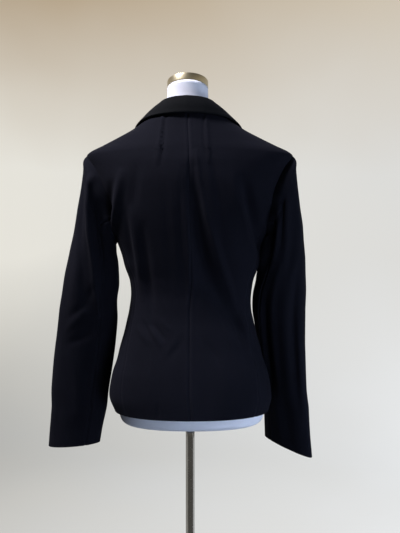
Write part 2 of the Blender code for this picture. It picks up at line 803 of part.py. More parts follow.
def build_button(name, level, material):
    """A flat round button whose back stands clear of the overlapping front."""
    angle = angle_at(0.0, level)
    normal = surface_normal(angle, level)
    seat = body_point(angle, level, WRAP_LIFT + BUTTON_SHANK)
    button = turned(name, bevelled_disc(BUTTON_RADIUS, BUTTON_THICKNESS, BUTTON_BEVEL), 16, material)
    facing = normal.to_track_quat("Z", "Y").to_matrix().to_4x4()
    button.data.transform(Matrix.Translation(seat) @ facing)
    return button


def surface_finish(name, colour, roughness, metallic=0.0):
    made = bpy.data.materials.new(name)
    made.use_nodes = True
    shader = made.node_tree.nodes["Principled BSDF"]
    shader.inputs["Base Color"].default_value = (*colour, 1.0)
    shader.inputs["Roughness"].default_value = roughness
    shader.inputs["Metallic"].default_value = metallic
    return made


def main():
    for old in list(bpy.data.objects):
        bpy.data.objects.remove(old, do_unlink=True)

    navy = surface_finish("navy_suiting", (0.010, 0.012, 0.022), 0.85)
    dark_collar = surface_finish("collar_suiting", (0.012, 0.014, 0.020), 0.85)
    horn = surface_finish("dark_horn", (0.012, 0.012, 0.014), 0.35)
    jersey = surface_finish("white_jersey", (0.66, 0.68, 0.78), 0.9)
    brass = surface_finish("champagne_metal", (0.62, 0.56, 0.44), 0.35, 1.0)
    chrome = surface_finish("chrome", (0.60, 0.59, 0.57), 0.2, 1.0)

    for label, side in (("left", 1), ("right", -1)):
        panel(f"back_{label}", back_places(), side, navy)
        panel(f"side_{label}", side_places(), side, navy)
        lift_rule = wrap_lift if side < 0 else None
        panel(f"front_{label}", front_places(), side, navy, lift_rule)
        face, under = drawn_in(*lapel_grid(side))
        closed_cloth(f"lapel_{label}", face, under, navy)
    build_collar(dark_collar)
    build_sleeve("left", SLEEVE_LEFT, LEFT_FOLDS, 1, navy)
    build_sleeve("right", SLEEVE_RIGHT, RIGHT_FOLDS, -1, navy)
    for name, level in BUTTON_LEVELS:
        build_button(name, level, horn)
    build_form(jersey)
    build_cap(brass)
    build_stand(chrome)


main()
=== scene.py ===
# A fitted navy blazer on a limbless dress form: the looks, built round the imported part.
# Metres, +Z up. The garment's front faces -Y and the wearer's left is +X.

import math

import bmesh
import bpy
import numpy as np
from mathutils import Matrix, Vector


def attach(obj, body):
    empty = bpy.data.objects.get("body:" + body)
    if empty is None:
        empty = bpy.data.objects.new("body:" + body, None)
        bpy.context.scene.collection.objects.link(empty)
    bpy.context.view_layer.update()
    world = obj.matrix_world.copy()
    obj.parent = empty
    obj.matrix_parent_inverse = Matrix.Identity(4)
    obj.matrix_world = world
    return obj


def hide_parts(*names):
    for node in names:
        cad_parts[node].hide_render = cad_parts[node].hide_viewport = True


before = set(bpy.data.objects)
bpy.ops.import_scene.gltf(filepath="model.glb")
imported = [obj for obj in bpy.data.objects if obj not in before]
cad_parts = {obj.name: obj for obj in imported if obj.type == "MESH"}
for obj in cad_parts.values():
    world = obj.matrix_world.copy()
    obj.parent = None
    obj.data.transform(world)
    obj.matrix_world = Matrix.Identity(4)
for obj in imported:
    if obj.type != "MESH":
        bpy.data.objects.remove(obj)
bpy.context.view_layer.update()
print("frame loaded:", len(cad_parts), "nodes")

body = {
    "hem": 0.857,
    "underarm": 1.190,
    "shoulderTip": 1.360,
    "neckSeam": 1.439,
    "breakPoint": 1.150,  # where the lapel starts to turn
    "gorge": 1.398,
    "gorgeX": 0.0565,
    "frontNeck": 1.4355,
    "frontNeckX": 0.0683,
    "wrap": 0.018,  # how far the fronts cross the middle
    "wrapLift": 0.0032,
    "wrapStart": 0.075,
    "wrapFull": 0.035,
    "corner": 0.060,  # radius of the fronts' lower corners
    "cornerShare": 0.94,  # under one, so that the corner meets the hem at a slight angle
    "armholeBack": 24.0,
    "armholeFront": 27.0,
    "armholeJoin": 120.0,
    "sideTurn": 1.10,  # above here the side seams swing towards the armhole
    "cloth": 0.0018,
    "foldFade": 0.03,  # folds die out this near the side line
    "hemRows": (0.0, 0.0006, 0.0014, 0.0026, 0.0042, 0.0064),  # heights above the hem
    "rowStep": 0.0030,
    "arcStep": 2.5,  # degrees round the armhole from row to row
    "ridgeRows": 30,
    "columns": 84,
    "sideColumns": 58,
    "normalTurn": 1.5,  # degrees, then metres, either side of a point whose normal is wanted
    "normalRise": 0.004,
}
armholeMiddle = (body["shoulderTip"] + body["underarm"]) / 2
armholeHalf = (body["shoulderTip"] - body["underarm"]) / 2

bodyColumns = ("z", "halfWidth", "back", "front", "power")
bodyRows = (
    (0.857, 0.1525, 0.1170, 0.1180, 0.88),
    (0.886, 0.1610, 0.1155, 0.1180, 0.88),
    (0.928, 0.1550, 0.1105, 0.1150, 0.88),
    (0.959, 0.1450, 0.1045, 0.1110, 0.88),
    (0.982, 0.1395, 0.0995, 0.1070, 0.88),
    (1.012, 0.1310, 0.0940, 0.1025, 0.88),
    (1.034, 0.1260, 0.0895, 0.0995, 0.88),
    (1.055, 0.1215, 0.0870, 0.0980, 0.88),
    (1.080, 0.1195, 0.0860, 0.0970, 0.88),
    (1.108, 0.1220, 0.0885, 0.1000, 0.88),
    (1.142, 0.1335, 0.0945, 0.1090, 0.88),
    (1.165, 0.1388, 0.0985, 0.1160, 0.88),
    (1.190, 0.1470, 0.1020, 0.1230, 0.88),
    (1.220, 0.1570, 0.1060, 0.1290, 0.89),
    (1.260, 0.1690, 0.1095, 0.1280, 0.91),
    (1.300, 0.1820, 0.1110, 0.1160, 0.95),
    (1.335, 0.1955, 0.1080, 0.1000, 1.04),
    (1.360, 0.2055, 0.1020, 0.0860, 1.14),
    (1.367, 0.1990, 0.1000, 0.0830, 1.16),
    (1.379, 0.1750, 0.0955, 0.0780, 1.18),
    (1.394, 0.1450, 0.0890, 0.0710, 1.16),
    (1.409, 0.1160, 0.0820, 0.0650, 1.10),
    (1.424, 0.0920, 0.0760, 0.0600, 1.02),
    (1.439, 0.0690, 0.0700, 0.0560, 0.95),
)
leanColumns = ("z", "shift")
leanRows = (
    (0.857, -0.0030), (0.900, 0.0000), (1.050, 0.0000), (1.100, -0.0025), (1.140, -0.0030),
    (1.190, -0.0015), (1.250, 0.0000), (1.350, 0.0005), (1.400, 0.0030), (1.440, 0.0050),
)
seamColumns = ("z", "sideBack", "sideFront")
seamRows = (
    (0.857, 40.0, -54.0), (0.886, 38.5, -53.0), (1.000, 31.0, -50.0),
    (1.080, 28.0, -47.0), (1.140, 26.0, -41.0), (1.200, 22.5, -30.0),
)

# Folds: two straight runs seen from behind, a height (below nought is a trough) and a spread
backFolds = (
    (-0.005, 1.318, -0.019, 1.194, -0.026, 1.110, -0.0118, 0.0150),  # trough beside the middle
    (-0.022, 1.172, -0.045, 1.100, -0.092, 1.026, -0.0100, 0.0150),
    (-0.080, 1.048, -0.108, 1.006, -0.134, 0.962, -0.0060, 0.0095),
    (0.006, 1.270, 0.003, 1.180, -0.001, 1.070, 0.0026, 0.0075),
    (-0.012, 1.352, -0.019, 1.290, -0.033, 1.228, 0.0036, 0.0055),
    (-0.027, 1.245, -0.056, 1.150, -0.112, 1.010, 0.0045, 0.0080),
    (-0.042, 1.345, -0.055, 1.270, -0.060, 1.170, -0.0030, 0.0090),
    (-0.052, 1.180, -0.083, 1.100, -0.105, 1.040, -0.0045, 0.0090),
    (0.111, 1.245, 0.102, 1.160, 0.092, 1.080, 0.0035, 0.0075),
    (0.089, 1.215, 0.084, 1.130, 0.069, 1.030, -0.0052, 0.0085),
    (0.121, 1.250, 0.116, 1.190, 0.108, 1.120, -0.0030, 0.0070),
    (0.129, 1.315, 0.140, 1.250, 0.152, 1.203, 0.0082, 0.0082),  # overhang at the left armhole
    (0.150, 1.295, 0.158, 1.240, 0.166, 1.200, -0.0058, 0.0080),
    (-0.102, 1.300, -0.120, 1.235, -0.139, 1.168, -0.0122, 0.0105),  # hollow at the right one
    (-0.080, 1.300, -0.098, 1.240, -0.116, 1.170, 0.0036, 0.0090),
    (-0.149, 1.285, -0.163, 1.230, -0.168, 1.185, 0.0030, 0.0080),
)
frontFolds = (
    (0.125, 1.240, 0.105, 1.130, 0.060, 1.070, -0.0030, 0.012),
    (-0.125, 1.240, -0.105, 1.130, -0.060, 1.070, -0.0035, 0.012),
    (0.085, 1.060, 0.100, 0.980, 0.110, 0.900, 0.0025, 0.014),
)
backCreases = (
    (0.0465, 1.4320, 0.0531, 1.3785, 0.0590, 1.3280, 0.0042, 0.0032),  # tucks at the neck
    (0.0420, 1.4320, 0.0485, 1.3785, 0.0545, 1.3280, -0.0036, 0.0030),
    (-0.0349, 1.4280, -0.0338, 1.3700, -0.0360, 1.3340, 0.0034, 0.0026),
    (-0.0305, 1.4280, -0.0295, 1.3700, -0.0350, 1.3380, -0.0018, 0.0026),
    (0.0120, 1.4300, 0.0120, 1.3800, 0.0100, 1.3300, -0.0016, 0.0200),
    (-0.0230, 1.2650, -0.0300, 1.2304, -0.0470, 1.1700, 0.0022, 0.0030),
    (0.0310, 1.2950, 0.0290, 1.2000, 0.0255, 1.0900, 0.0008, 0.0056),  # flutes down the back
    (0.0440, 1.2750, 0.0420, 1.2000, 0.0385, 1.1200, -0.0007, 0.0065),
    (0.0165, 1.3150, 0.0168, 1.2400, 0.0150, 1.1600, -0.0009, 0.0036),
    (0.0690, 1.0320, 0.0580, 1.0180, 0.0458, 1.0020, -0.0030, 0.0042),  # crumples at the waist
    (0.0770, 1.0250, 0.0660, 1.0110, 0.0560, 0.9940, 0.0024, 0.0042),
    (0.0880, 1.0350, 0.0800, 1.0210, 0.0720, 1.0080, -0.0022, 0.0038),
    (0.0990, 1.0240, 0.0880, 1.0080, 0.0760, 0.9940, 0.0018, 0.0048),
    (0.0540, 1.0400, 0.0440, 1.0280, 0.0330, 1.0200, 0.0014, 0.0045),
    (0.0140, 1.0060, 0.0250, 0.9860, 0.0380, 0.9680, -0.0012, 0.0070),
    (0.0220, 1.0080, 0.0330, 0.9900, 0.0450, 0.9740, 0.0008, 0.0060),
    (-0.0640, 1.0300, -0.0730, 1.0080, -0.0860, 0.9860, 0.0020, 0.0052),
    (-0.0960, 1.0520, -0.1080, 1.0200, -0.1190, 0.9800, 0.0028, 0.0042),
    (-0.0860, 1.0450, -0.0980, 1.0130, -0.1090, 0.9750, -0.0020, 0.0048),
    (-0.0330, 0.9980, -0.0450, 0.9780, -0.0580, 0.9640, -0.0012, 0.0060),
    (0.0590, 0.8850, 0.0597, 0.8700, 0.0603, 0.8590, -0.0020, 0.0024),
    (0.0980, 1.3320, 0.1010, 1.2900, 0.1060, 1.2500, -0.0022, 0.0090),
    (-0.0780, 1.3200, -0.0830, 1.2600, -0.0900, 1.2000, 0.0016, 0.0090),
    (-0.0960, 1.2900, -0.0985, 1.2500, -0.1060, 1.2100, 0.0020, 0.0050),
    (0.0700, 0.9700, 0.0740, 0.9300, 0.0760, 0.8800, 0.0012, 0.0120),
    (-0.0620, 0.9600, -0.0660, 0.9200, -0.0680, 0.8700, 0.0012, 0.0130),
    (-0.0300, 0.9500, -0.0310, 0.9100, -0.0310, 0.8650, -0.0010, 0.0110),
)
frontCreases = (
    (0.0620, 1.0900, 0.0750, 1.0650, 0.0980, 1.0500, -0.0016, 0.0050),
    (0.0600, 1.0480, 0.0740, 1.0320, 0.0940, 1.0250, -0.0013, 0.0050),
    (-0.0600, 1.0820, -0.0760, 1.0600, -0.0980, 1.0470, -0.0015, 0.0050),
    (-0.0560, 1.0420, -0.0720, 1.0260, -0.0900, 1.0180, -0.0012, 0.0055),
    (0.0150, 1.1320, 0.0380, 1.1220, 0.0640, 1.1180, -0.0014, 0.0045),  # pulls at the buttons
    (-0.0150, 1.1320, -0.0380, 1.1240, -0.0620, 1.1260, -0.0013, 0.0045),
    (0.0150, 1.0520, 0.0340, 1.0600, 0.0540, 1.0720, -0.0012, 0.0045),
    (-0.0150, 1.0520, -0.0340, 1.0620, -0.0560, 1.0760, -0.0012, 0.0045),
    (0.1080, 1.2900, 0.1150, 1.2300, 0.1180, 1.1700, -0.0016, 0.0070),
    (-0.1080, 1.2900, -0.1160, 1.2300, -0.1180, 1.1700, -0.0018, 0.0070),
    (-0.0900, 0.9800, -0.0960, 0.9300, -0.1000, 0.8800, 0.0014, 0.0120),
)


def rowCurve(rows, columns, name, along="z"):
    x = np.array([row[columns.index(along)] for row in rows], float)
    y = np.array([row[columns.index(name)] for row in rows], float)
    if x[0] > x[-1]:
        x, y = x[::-1], y[::-1]
    rise = np.diff(y) / np.diff(x)
    slope = np.concatenate([rise[:1], np.zeros(len(x) - 2), rise[-1:]])
    for i in range(1, len(x) - 1):
        if rise[i - 1] * rise[i] > 0:  # never overshoots its rows
            slope[i] = 2 * rise[i - 1] * rise[i] / (rise[i - 1] + rise[i])

    def at(value):
        value = np.clip(value, x[0], x[-1])
        i = np.clip(np.searchsorted(x, value, side="right") - 1, 0, len(x) - 2)
        run = x[i + 1] - x[i]
        t = (value - x[i]) / run
        start = y[i] * (1 + 2 * t) * (1 - t) ** 2 + slope[i] * run * t * (1 - t) ** 2
        return start + y[i + 1] * t * t * (3 - 2 * t) + slope[i + 1] * run * t * t * (t - 1)

    return at


halfWidth = rowCurve(bodyRows, bodyColumns, "halfWidth")
backDepth = rowCurve(bodyRows, bodyColumns, "back")
frontDepth = rowCurve(bodyRows, bodyColumns, "front")
cutPower = rowCurve(bodyRows, bodyColumns, "power")
leanShift = rowCurve(leanRows, leanColumns, "shift")
sideBack = rowCurve(seamRows, seamColumns, "sideBack")
sideFront = rowCurve(seamRows, seamColumns, "sideFront")


def smooth(low, high, value):
    t = np.clip((value - low) / (high - low), 0.0, 1.0)
    return t * t * (3 - 2 * t)


def bump(away, spread):
    return np.exp(-((away / spread) ** 2))


def signedPower(value, power):
    return np.sign(value) * np.abs(value) ** power


def unit(vectors):
    return vectors / np.maximum(np.linalg.norm(vectors, axis=-1, keepdims=True), 1e-12)


def bareSurface(angle, z):
    angle, z = np.broadcast_arrays(np.asarray(angle, float), np.asarray(z, float))
    turn = np.radians(angle)
    depth = np.where(np.sin(turn) > 0, backDepth(z), frontDepth(z))
    power = cutPower(z)
    x = halfWidth(z) * signedPower(np.cos(turn), power)
    y = depth * signedPower(np.sin(turn), power)
    return np.stack([x, y, z], -1)


def surfaceNormal(angle, z):
    angle, z = np.broadcast_arrays(np.asarray(angle, float), np.asarray(z, float))
    turn, rise = body["normalTurn"], body["normalRise"]
    around = bareSurface(angle + turn, z) - bareSurface(angle - turn, z)
    low = np.maximum(z - rise, body["hem"])
    high = np.minimum(z + rise, body["neckSeam"])
    up = bareSurface(angle, high) - bareSurface(angle, low)
    return unit(np.cross(around, up))


def runShare(x, z, x0, z0, x1, z1):
    length = (x1 - x0) ** 2 + (z1 - z0) ** 2
    along = np.clip(((x - x0) * (x1 - x0) + (z - z0) * (z1 - z0)) / length, 0.0, 1.0)
    return np.hypot(x - x0 - along * (x1 - x0), z - z0 - along * (z1 - z0)), along


# How far folds raise or sink the cloth at x and z, each fading out towards its two ends
def foldHeight(x, z, rows):
    total = np.zeros(np.broadcast(x, z).shape)
    for x0, z0, x1, z1, x2, z2, height, spread in rows:
        first, alongFirst = runShare(x, z, x0, z0, x1, z1)
        second, alongSecond = runShare(x, z, x1, z1, x2, z2)
        share = np.where(first < second, alongFirst / 2, 0.5 + alongSecond / 2)
        fade = np.sin(np.pi * (0.04 + 0.92 * share)) ** 0.6
        total += height * fade * bump(np.minimum(first, second), spread)
    return total


# A point of the worn cloth, with its folds, at a turn round the body and a height
def bodyPoint(angle, z, lift=0.0, creased=True):
    point = bareSurface(angle, z)
    x, y = point[..., 0], point[..., 1]
    back = foldHeight(x, z, backFolds + backCreases if creased else backFolds)
    front = foldHeight(x, z, frontFolds + frontCreases if creased else frontFolds)
    relief = smooth(0.0, body["foldFade"], np.abs(y)) * np.where(y > 0, back, front)
    return point + surfaceNormal(angle, z) * (relief + lift)[..., None]


def angleAt(x, z):
    share = np.minimum(np.abs(x) / halfWidth(z), 1.0)
    angle = np.degrees(np.arccos(share ** (1 / cutPower(z))))
    return np.where(np.asarray(x) >= 0, -angle, angle - 180)


# A place on the armhole's edge, turned from its top: the angle round the body, and the height
def armholePlace(turn):
    side = np.sin(np.radians(turn))
    reach = np.where(side > 0, body["armholeBack"], body["armholeFront"])
    return reach * side, armholeMiddle + armholeHalf * np.cos(np.radians(turn))


joinZ = float(armholePlace(body["armholeJoin"])[1])


def mirroredAngle(angle, side):
    return angle if side > 0 else 180 - angle


# Shares from 0 to 1 that crowd towards both ends
def crowded(count, crowding=0.86):
    t = np.linspace(0, 1, count + 1)
    return t - crowding * np.sin(2 * np.pi * t) / (2 * np.pi)


def lowRows():
    hem = body["hem"] + np.array(body["hemRows"])
    count = round((joinZ - hem[-1]) / body["rowStep"])
    return np.concatenate([hem, np.linspace(hem[-1], joinZ, count + 1)[1:]])


def rowHeights(top):
    turns = np.arange(body["armholeJoin"] - body["arcStep"], 0.1, -body["arcStep"])
    ridge = body["shoulderTip"] + (top - body["shoulderTip"]) * np.linspace(0, 1, body["ridgeRows"])
    return np.concatenate([lowRows(), armholePlace(turns)[1], ridge])


# Where a back or a front ends: at its side seam, its armhole, then its shoulder seam
def outerAngle(z, back):
    reach = body["armholeBack"] if back else -body["armholeFront"]
    join = body["armholeJoin"] if back else -body["armholeJoin"]
    sewn = sideBack if back else sideFront
    side = np.sqrt(np.clip(1 - ((z - armholeMiddle) / armholeHalf) ** 2, 0.0, 1.0))
    swing = armholePlace(join)[0] - sewn(joinZ)
    below = sewn(z) + swing * smooth(body["sideTurn"], joinZ, z)
    angle = np.where(z > joinZ - 1e-6, reach * side, below)
    return np.where(z > body["shoulderTip"] - 1e-6, 0.0, angle)


def rollLineX(z):
    rise = (z - body["breakPoint"]) / (body["gorge"] - body["breakPoint"])
    return -body["wrap"] + (body["gorgeX"] + body["wrap"]) * rise


def frontEdgeX(z):
    drop = np.clip(1 - (z - body["hem"]) / body["corner"], 0.0, 1.0)
    cut = body["corner"] * (1 - np.sqrt(1 - drop * drop * body["cornerShare"]))
    rise = np.clip((z - body["gorge"]) / (body["frontNeck"] - body["gorge"]), 0.0, 1.0)
    neck = body["gorgeX"] + (body["frontNeckX"] - body["gorgeX"]) * np.sin(rise * np.pi / 2)
    edge = np.where(z < body["breakPoint"], -body["wrap"] + cut, rollLineX(z))
    return np.where(z < body["gorge"], edge, neck)


def wrapLift(x):
    return body["wrapLift"] * smooth(-body["wrapStart"], -body["wrapFull"], x)


seam = {
    "drawIn": 0.00015,  # how far each sewn edge stands back from the seam's middle
    "dip": 0.0010,
    "spread": 0.0016,
    "swell": 0.0004,  # the turned edges beneath lift the cloth beside a seam
    "swellAt": 0.0055,
    "swellSpread": 0.0024,
    "armhole": 0.15,  # the armhole's seam is pressed soft, the shoulder's and the side's are full
    "joinSoft": 0.004,
    "shoulder": (1.352, 1.362),
    "sideWidth": 0.10,  # about the width over which a side panel is drawn in
    "wear": 0.004,
}


def armholeEase(z):
    soft = seam["joinSoft"]
    inside = smooth(joinZ - soft, joinZ + soft, z) * (1 - smooth(*seam["shoulder"], z))
    return 1 - (1 - seam["armhole"]) * inside


# Angles from start to end, drawn in at the sewn ends so that the edges only just meet
def drawnIn(start, end, z, ends=(1, 1)):
    coarse = start + (end - start) * np.linspace(0, 1, 13)[None]
    length = np.linalg.norm(np.diff(bareSurface(coarse, z), axis=1), axis=-1).sum(1)
    share = seam["drawIn"] / length[:, None]
    low, high = share * ends[0] * armholeEase(z), 1 - share * ends[1]
    return start + (end - start) * (low + (high - low) * crowded(body["columns"])[None])


# How far the cloth dips beside its sewn edges, and how near they are, along each row
def seamGroove(grid, ends=(1, 1)):
    step = np.linalg.norm(np.diff(grid, axis=1), axis=-1)
    fromFirst = np.concatenate([np.zeros((len(grid), 1)), np.cumsum(step, 1)], 1)
    fromLast = fromFirst[:, -1:] - fromFirst
    dip = np.zeros(fromFirst.shape)
    near = np.ones(fromFirst.shape)
    for strength, away in zip(ends, (fromFirst, fromLast)):
        groove = -seam["dip"] * bump(away, seam["spread"])
        swell = seam["swell"] * bump(away - seam["swellAt"], seam["swellSpread"])
        dip += strength * (groove + swell)
        near = np.minimum(near, np.where(np.broadcast_to(strength, near.shape) > 0.5, away, 1.0))
    return dip, near


# A mesh whose weave map holds each point's distances across and along the cloth
def mappedMesh(name, points, faces, place):
    data = bpy.data.meshes.new(name)
    data.from_pydata(points.tolist(), [], faces)
    layer = data.uv_layers.new(name="weaveMap")
    corner = np.zeros(len(data.loops), np.int32)
    data.loops.foreach_get("vertex_index", corner)
    layer.data.foreach_set("uv", place[corner].astype(np.float32).ravel())
    mesh = bmesh.new()
    mesh.from_mesh(data)
    bmesh.ops.recalc_face_normals(mesh, faces=mesh.faces)
    mesh.to_mesh(data)
    mesh.free()
    return data


def placed(name, data, finish):
    data.shade_smooth()
    data.materials.clear()
    data.materials.append(finish)
    piece = bpy.data.objects.new(name, data)
    bpy.context.scene.collection.objects.link(piece)
    return piece


# A cloth wall between two grids of points, with a soft edge all round
def clothPiece(name, outer, inner, finish, grain):
    rows, columns = outer.shape[:2]
    total = rows * columns
    number = np.arange(total).reshape(rows, columns)
    loop = np.concatenate([number[0, :-1], number[:-1, -1], number[-1, :0:-1], number[:0:-1, 0]])
    row, column = np.divmod(loop, columns)
    inside = number[np.clip(row, 1, rows - 2), np.clip(column, 1, columns - 2)]
    flatOuter, flatInner = outer.reshape(-1, 3), inner.reshape(-1, 3)
    away = unit(flatOuter[loop] - flatOuter[inside])
    thick = np.linalg.norm(flatOuter[loop] - flatInner[loop], axis=-1, keepdims=True)
    rim = (flatOuter[loop] + flatInner[loop]) / 2 + away * thick * 0.32
    points = np.concatenate([flatOuter, flatInner, rim])
    points[:, 0] += leanShift(points[:, 2])
    a, b, d, e = number[:-1, :-1], number[:-1, 1:], number[1:, 1:], number[1:, :-1]
    face = np.stack([a, b, d, e], -1).reshape(-1, 4)
    edge = np.arange(len(loop))
    after = np.roll(edge, -1)
    outerRim = np.stack([loop, edge + 2 * total, after + 2 * total, loop[after]], -1)
    innerRim = np.stack([edge + 2 * total, loop + total, loop[after] + total, after + 2 * total], -1)
    faces = np.concatenate([face, face[:, ::-1] + total, outerRim, innerRim])
    straight = grain % columns  # the column that the weave runs along
    across = np.linalg.norm(np.diff(outer, axis=1), axis=-1)
    u = np.concatenate([np.zeros((rows, 1)), np.cumsum(across, 1)], 1)
    u = u - u[:, straight][:, None]
    up = np.linalg.norm(np.diff(outer[:, straight], axis=0), axis=-1)
    v = np.concatenate([[0.0], np.cumsum(up)])[:, None] + 0 * u
    place = np.stack([u, v], -1).reshape(-1, 2)
    place = np.concatenate([place, place, place[loop]])
    return placed(name, mappedMesh(name, points, faces.tolist(), place), finish)


# Keeps how near each point is to a seam, for pressed and worn edges
def tagEdges(piece, near):
    near = near.reshape(-1)
    total = len(near)
    values = np.ones(len(piece.data.vertices), np.float32)
    values[:total] = np.exp(-near / seam["wear"])
    values[total:2 * total] = values[:total]
    layer = piece.data.attributes.new("edgeWear", "FLOAT", "POINT")
    layer.data.foreach_set("value", values)


# A number that runs through a material, so that sums on it can be written as sums
class Number:
    def __init__(self, paint, socket):
        self.paint, self.socket = paint, socket

    def math(self, operation, first, second=None):
        values = [first] if second is None else [first, second]
        node = self.paint.node("ShaderNodeMath", {"operation": operation}, values)
        return Number(self.paint, node.outputs[0])

    def __add__(self, other):
        return self.math("ADD", self, other)

    def __radd__(self, other):
        return self.math("ADD", other, self)

    def __sub__(self, other):
        return self.math("SUBTRACT", self, other)

    def __rsub__(self, other):
        return self.math("SUBTRACT", other, self)

    def __mul__(self, other):
        return self.math("MULTIPLY", self, other)

    def __rmul__(self, other):
        return self.math("MULTIPLY", other, self)

    def __pow__(self, other):
        return self.math("POWER", self, other)

    def wave(self):  # rises and falls between nought and one
        return self.math("SINE", self) * 0.5 + 0.5

    def clip(self):
        node = self.paint.node("ShaderNodeClamp", {}, [self])
        return Number(self.paint, node.outputs[0])


# One material's tree, filled node by node
class Paint:
    def __init__(self, name):
        self.material = bpy.data.materials.new(name)
        self.material.use_nodes = True
        self.tree = self.material.node_tree
        self.tree.nodes.clear()

    def node(self, kind, settings=None, values=None):
        fresh = self.tree.nodes.new(kind)
        for key, value in (settings or {}).items():
            setattr(fresh, key, value)
        pairs = values.items() if isinstance(values, dict) else enumerate(values or [])
        for key, value in pairs:
            self.feed(fresh.inputs[key], value)
        return fresh

    def feed(self, socket, value):
        if isinstance(value, Number):
            value = value.socket
        if isinstance(value, bpy.types.NodeSocket):
            self.tree.links.new(value, socket)
        elif isinstance(value, tuple) and len(value) == 3 and socket.type == "RGBA":
            socket.default_value = (*value, 1.0)
        else:
            socket.default_value = value

    def place(self):
        return self.node("ShaderNodeTexCoord").outputs["Object"]

    def split(self, source):
        node = self.node("ShaderNodeSeparateXYZ", {}, [source])
        return [Number(self, socket) for socket in node.outputs]

    def weave(self):
        return self.split(self.node("ShaderNodeUVMap", {"uv_map": "weaveMap"}).outputs[0])[:2]

    def stretched(self, source, scale):
        return self.node("ShaderNodeMapping", {}, {"Vector": source, "Scale": scale}).outputs[0]

    def noise(self, source, scale, detail=2.0, roughness=0.5):
        values = {"Vector": source, "Scale": scale, "Detail": detail, "Roughness": roughness}
        return Number(self, self.node("ShaderNodeTexNoise", {}, values).outputs[0])

    def attribute(self, name):
        return Number(self, self.node("ShaderNodeAttribute", {"attribute_name": name}).outputs[2])

    def mixed(self, share, first, second):
        node = self.node("ShaderNodeMix", {"data_type": "RGBA"}, {"Factor": share})
        self.feed(node.inputs[6], first)
        self.feed(node.inputs[7], second)
        return node.outputs[2]

    def relief(self, height, distance, strength=1.0, before=None):
        values = {"Height": height, "Distance": distance, "Strength": strength}
        if before is not None:
            values["Normal"] = before
        return self.node("ShaderNodeBump", {}, values).outputs[0]

    def finish(self, values):
        shader = self.node("ShaderNodeBsdfPrincipled", {}, values)
        self.node("ShaderNodeOutputMaterial", {}, {"Surface": shader.outputs[0]})
        return self.material


suiting = {
    "deep": (0.0033, 0.0037, 0.0063),
    "soft": (0.0085, 0.0090, 0.0145),
    "collarDeep": (0.0042, 0.0047, 0.0056),
    "collarSoft": (0.0086, 0.0093, 0.0111),
    "thread": 0.00062,  # from one thread to the next
    "slub": (420.0, 420.0, 46.0),  # noise scales, from long thick threads to the fine grain
    "cloud": 7.0,
    "rumple": 60.0,
    "grain": 640.0,
    "weaveDepth": 0.00022,
    "rumpleDepth": 0.0010,
    "roughness": 0.86,
    "gloss": 0.018,
    "sheen": 0.010,
    "sheenTint": (0.62, 0.64, 0.82, 1.0),
}


def suitingFinish(name, deep, soft):
    paint = Paint(name)
    u, v = paint.weave()
    space = paint.place()
    rate = 2 * math.pi / suiting["thread"]
    twill = (u * rate + v * rate * 0.5).wave()
    weft = (v * rate).wave()
    threads = twill * 0.65 + weft * 0.35
    slub = paint.noise(paint.stretched(space, suiting["slub"]), 1.0)
    cloud = paint.noise(space, suiting["cloud"], 3.0)
    rumple = paint.noise(space, suiting["rumple"], 3.0)
    grain = paint.noise(space, suiting["grain"], 1.0)
    edge = paint.attribute("edgeWear")
    shade = (cloud * 0.55 + slub * 0.35 + threads * 0.15 + edge * 0.22 - 0.10).clip()
    normal = paint.relief(threads * 0.7 + grain * 0.3, suiting["weaveDepth"], 0.5)
    normal = paint.relief(slub * 0.6 + rumple * 0.4, suiting["rumpleDepth"], 0.30, normal)
    return paint.finish({
        "Base Color": paint.mixed(shade, deep, soft),
        "Roughness": (suiting["roughness"] + (grain - 0.5) * 0.12 - edge * 0.07).clip(),
        "Normal": normal,
        "Specular IOR Level": suiting["gloss"],
        "Sheen Weight": suiting["sheen"],
        "Sheen Roughness": 0.42,
        "Sheen Tint": suiting["sheenTint"],
    })


knit = {
    "shade": (0.545, 0.575, 0.695),
    "light": (0.67, 0.70, 0.80),
    "rib": 0.0011,  # from one rib to the next, then from one row of loops to the next
    "row": 0.0009,
    "slant": 900.0,
    "cloud": 9.0,
    "rumple": 26.0,
    "loopDepth": 0.0003,
    "rumpleDepth": 0.0022,
    "roughness": 0.84,
    "sheen": 0.12,
}


def jerseyFinish():
    paint = Paint("jerseyCover")
    u, v = paint.weave()
    space = paint.place()
    rib = (u * (2 * math.pi / knit["rib"])).wave()
    row = (v * (2 * math.pi / knit["row"]) + u * knit["slant"]).wave()
    loops = rib * 0.6 + row * 0.4
    cloud = paint.noise(space, knit["cloud"], 3.0)
    shade = (cloud * 0.8 + loops * 0.12).clip()
    normal = paint.relief(loops, knit["loopDepth"], 0.45)
    normal = paint.relief(paint.noise(space, knit["rumple"]), knit["rumpleDepth"], 0.28, normal)
    return paint.finish({
        "Base Color": paint.mixed(shade, knit["shade"], knit["light"]),
        "Roughness": (knit["roughness"] + (loops - 0.5) * 0.1).clip(),
        "Normal": normal,
        "Specular IOR Level": 0.3,
        "Sheen Weight": knit["sheen"],
        "Sheen Roughness": 0.5,
    })


capMetal = {
    "dark": (0.34, 0.30, 0.20),
    "bright": (0.51, 0.47, 0.36),
    "middleX": 0.005,  # the lathe marks run round the cap's own middle
    "lathe": 900.0,
    "latheWall": 1500.0,
    "smudge": 34.0,
    "roughness": 0.34,
}


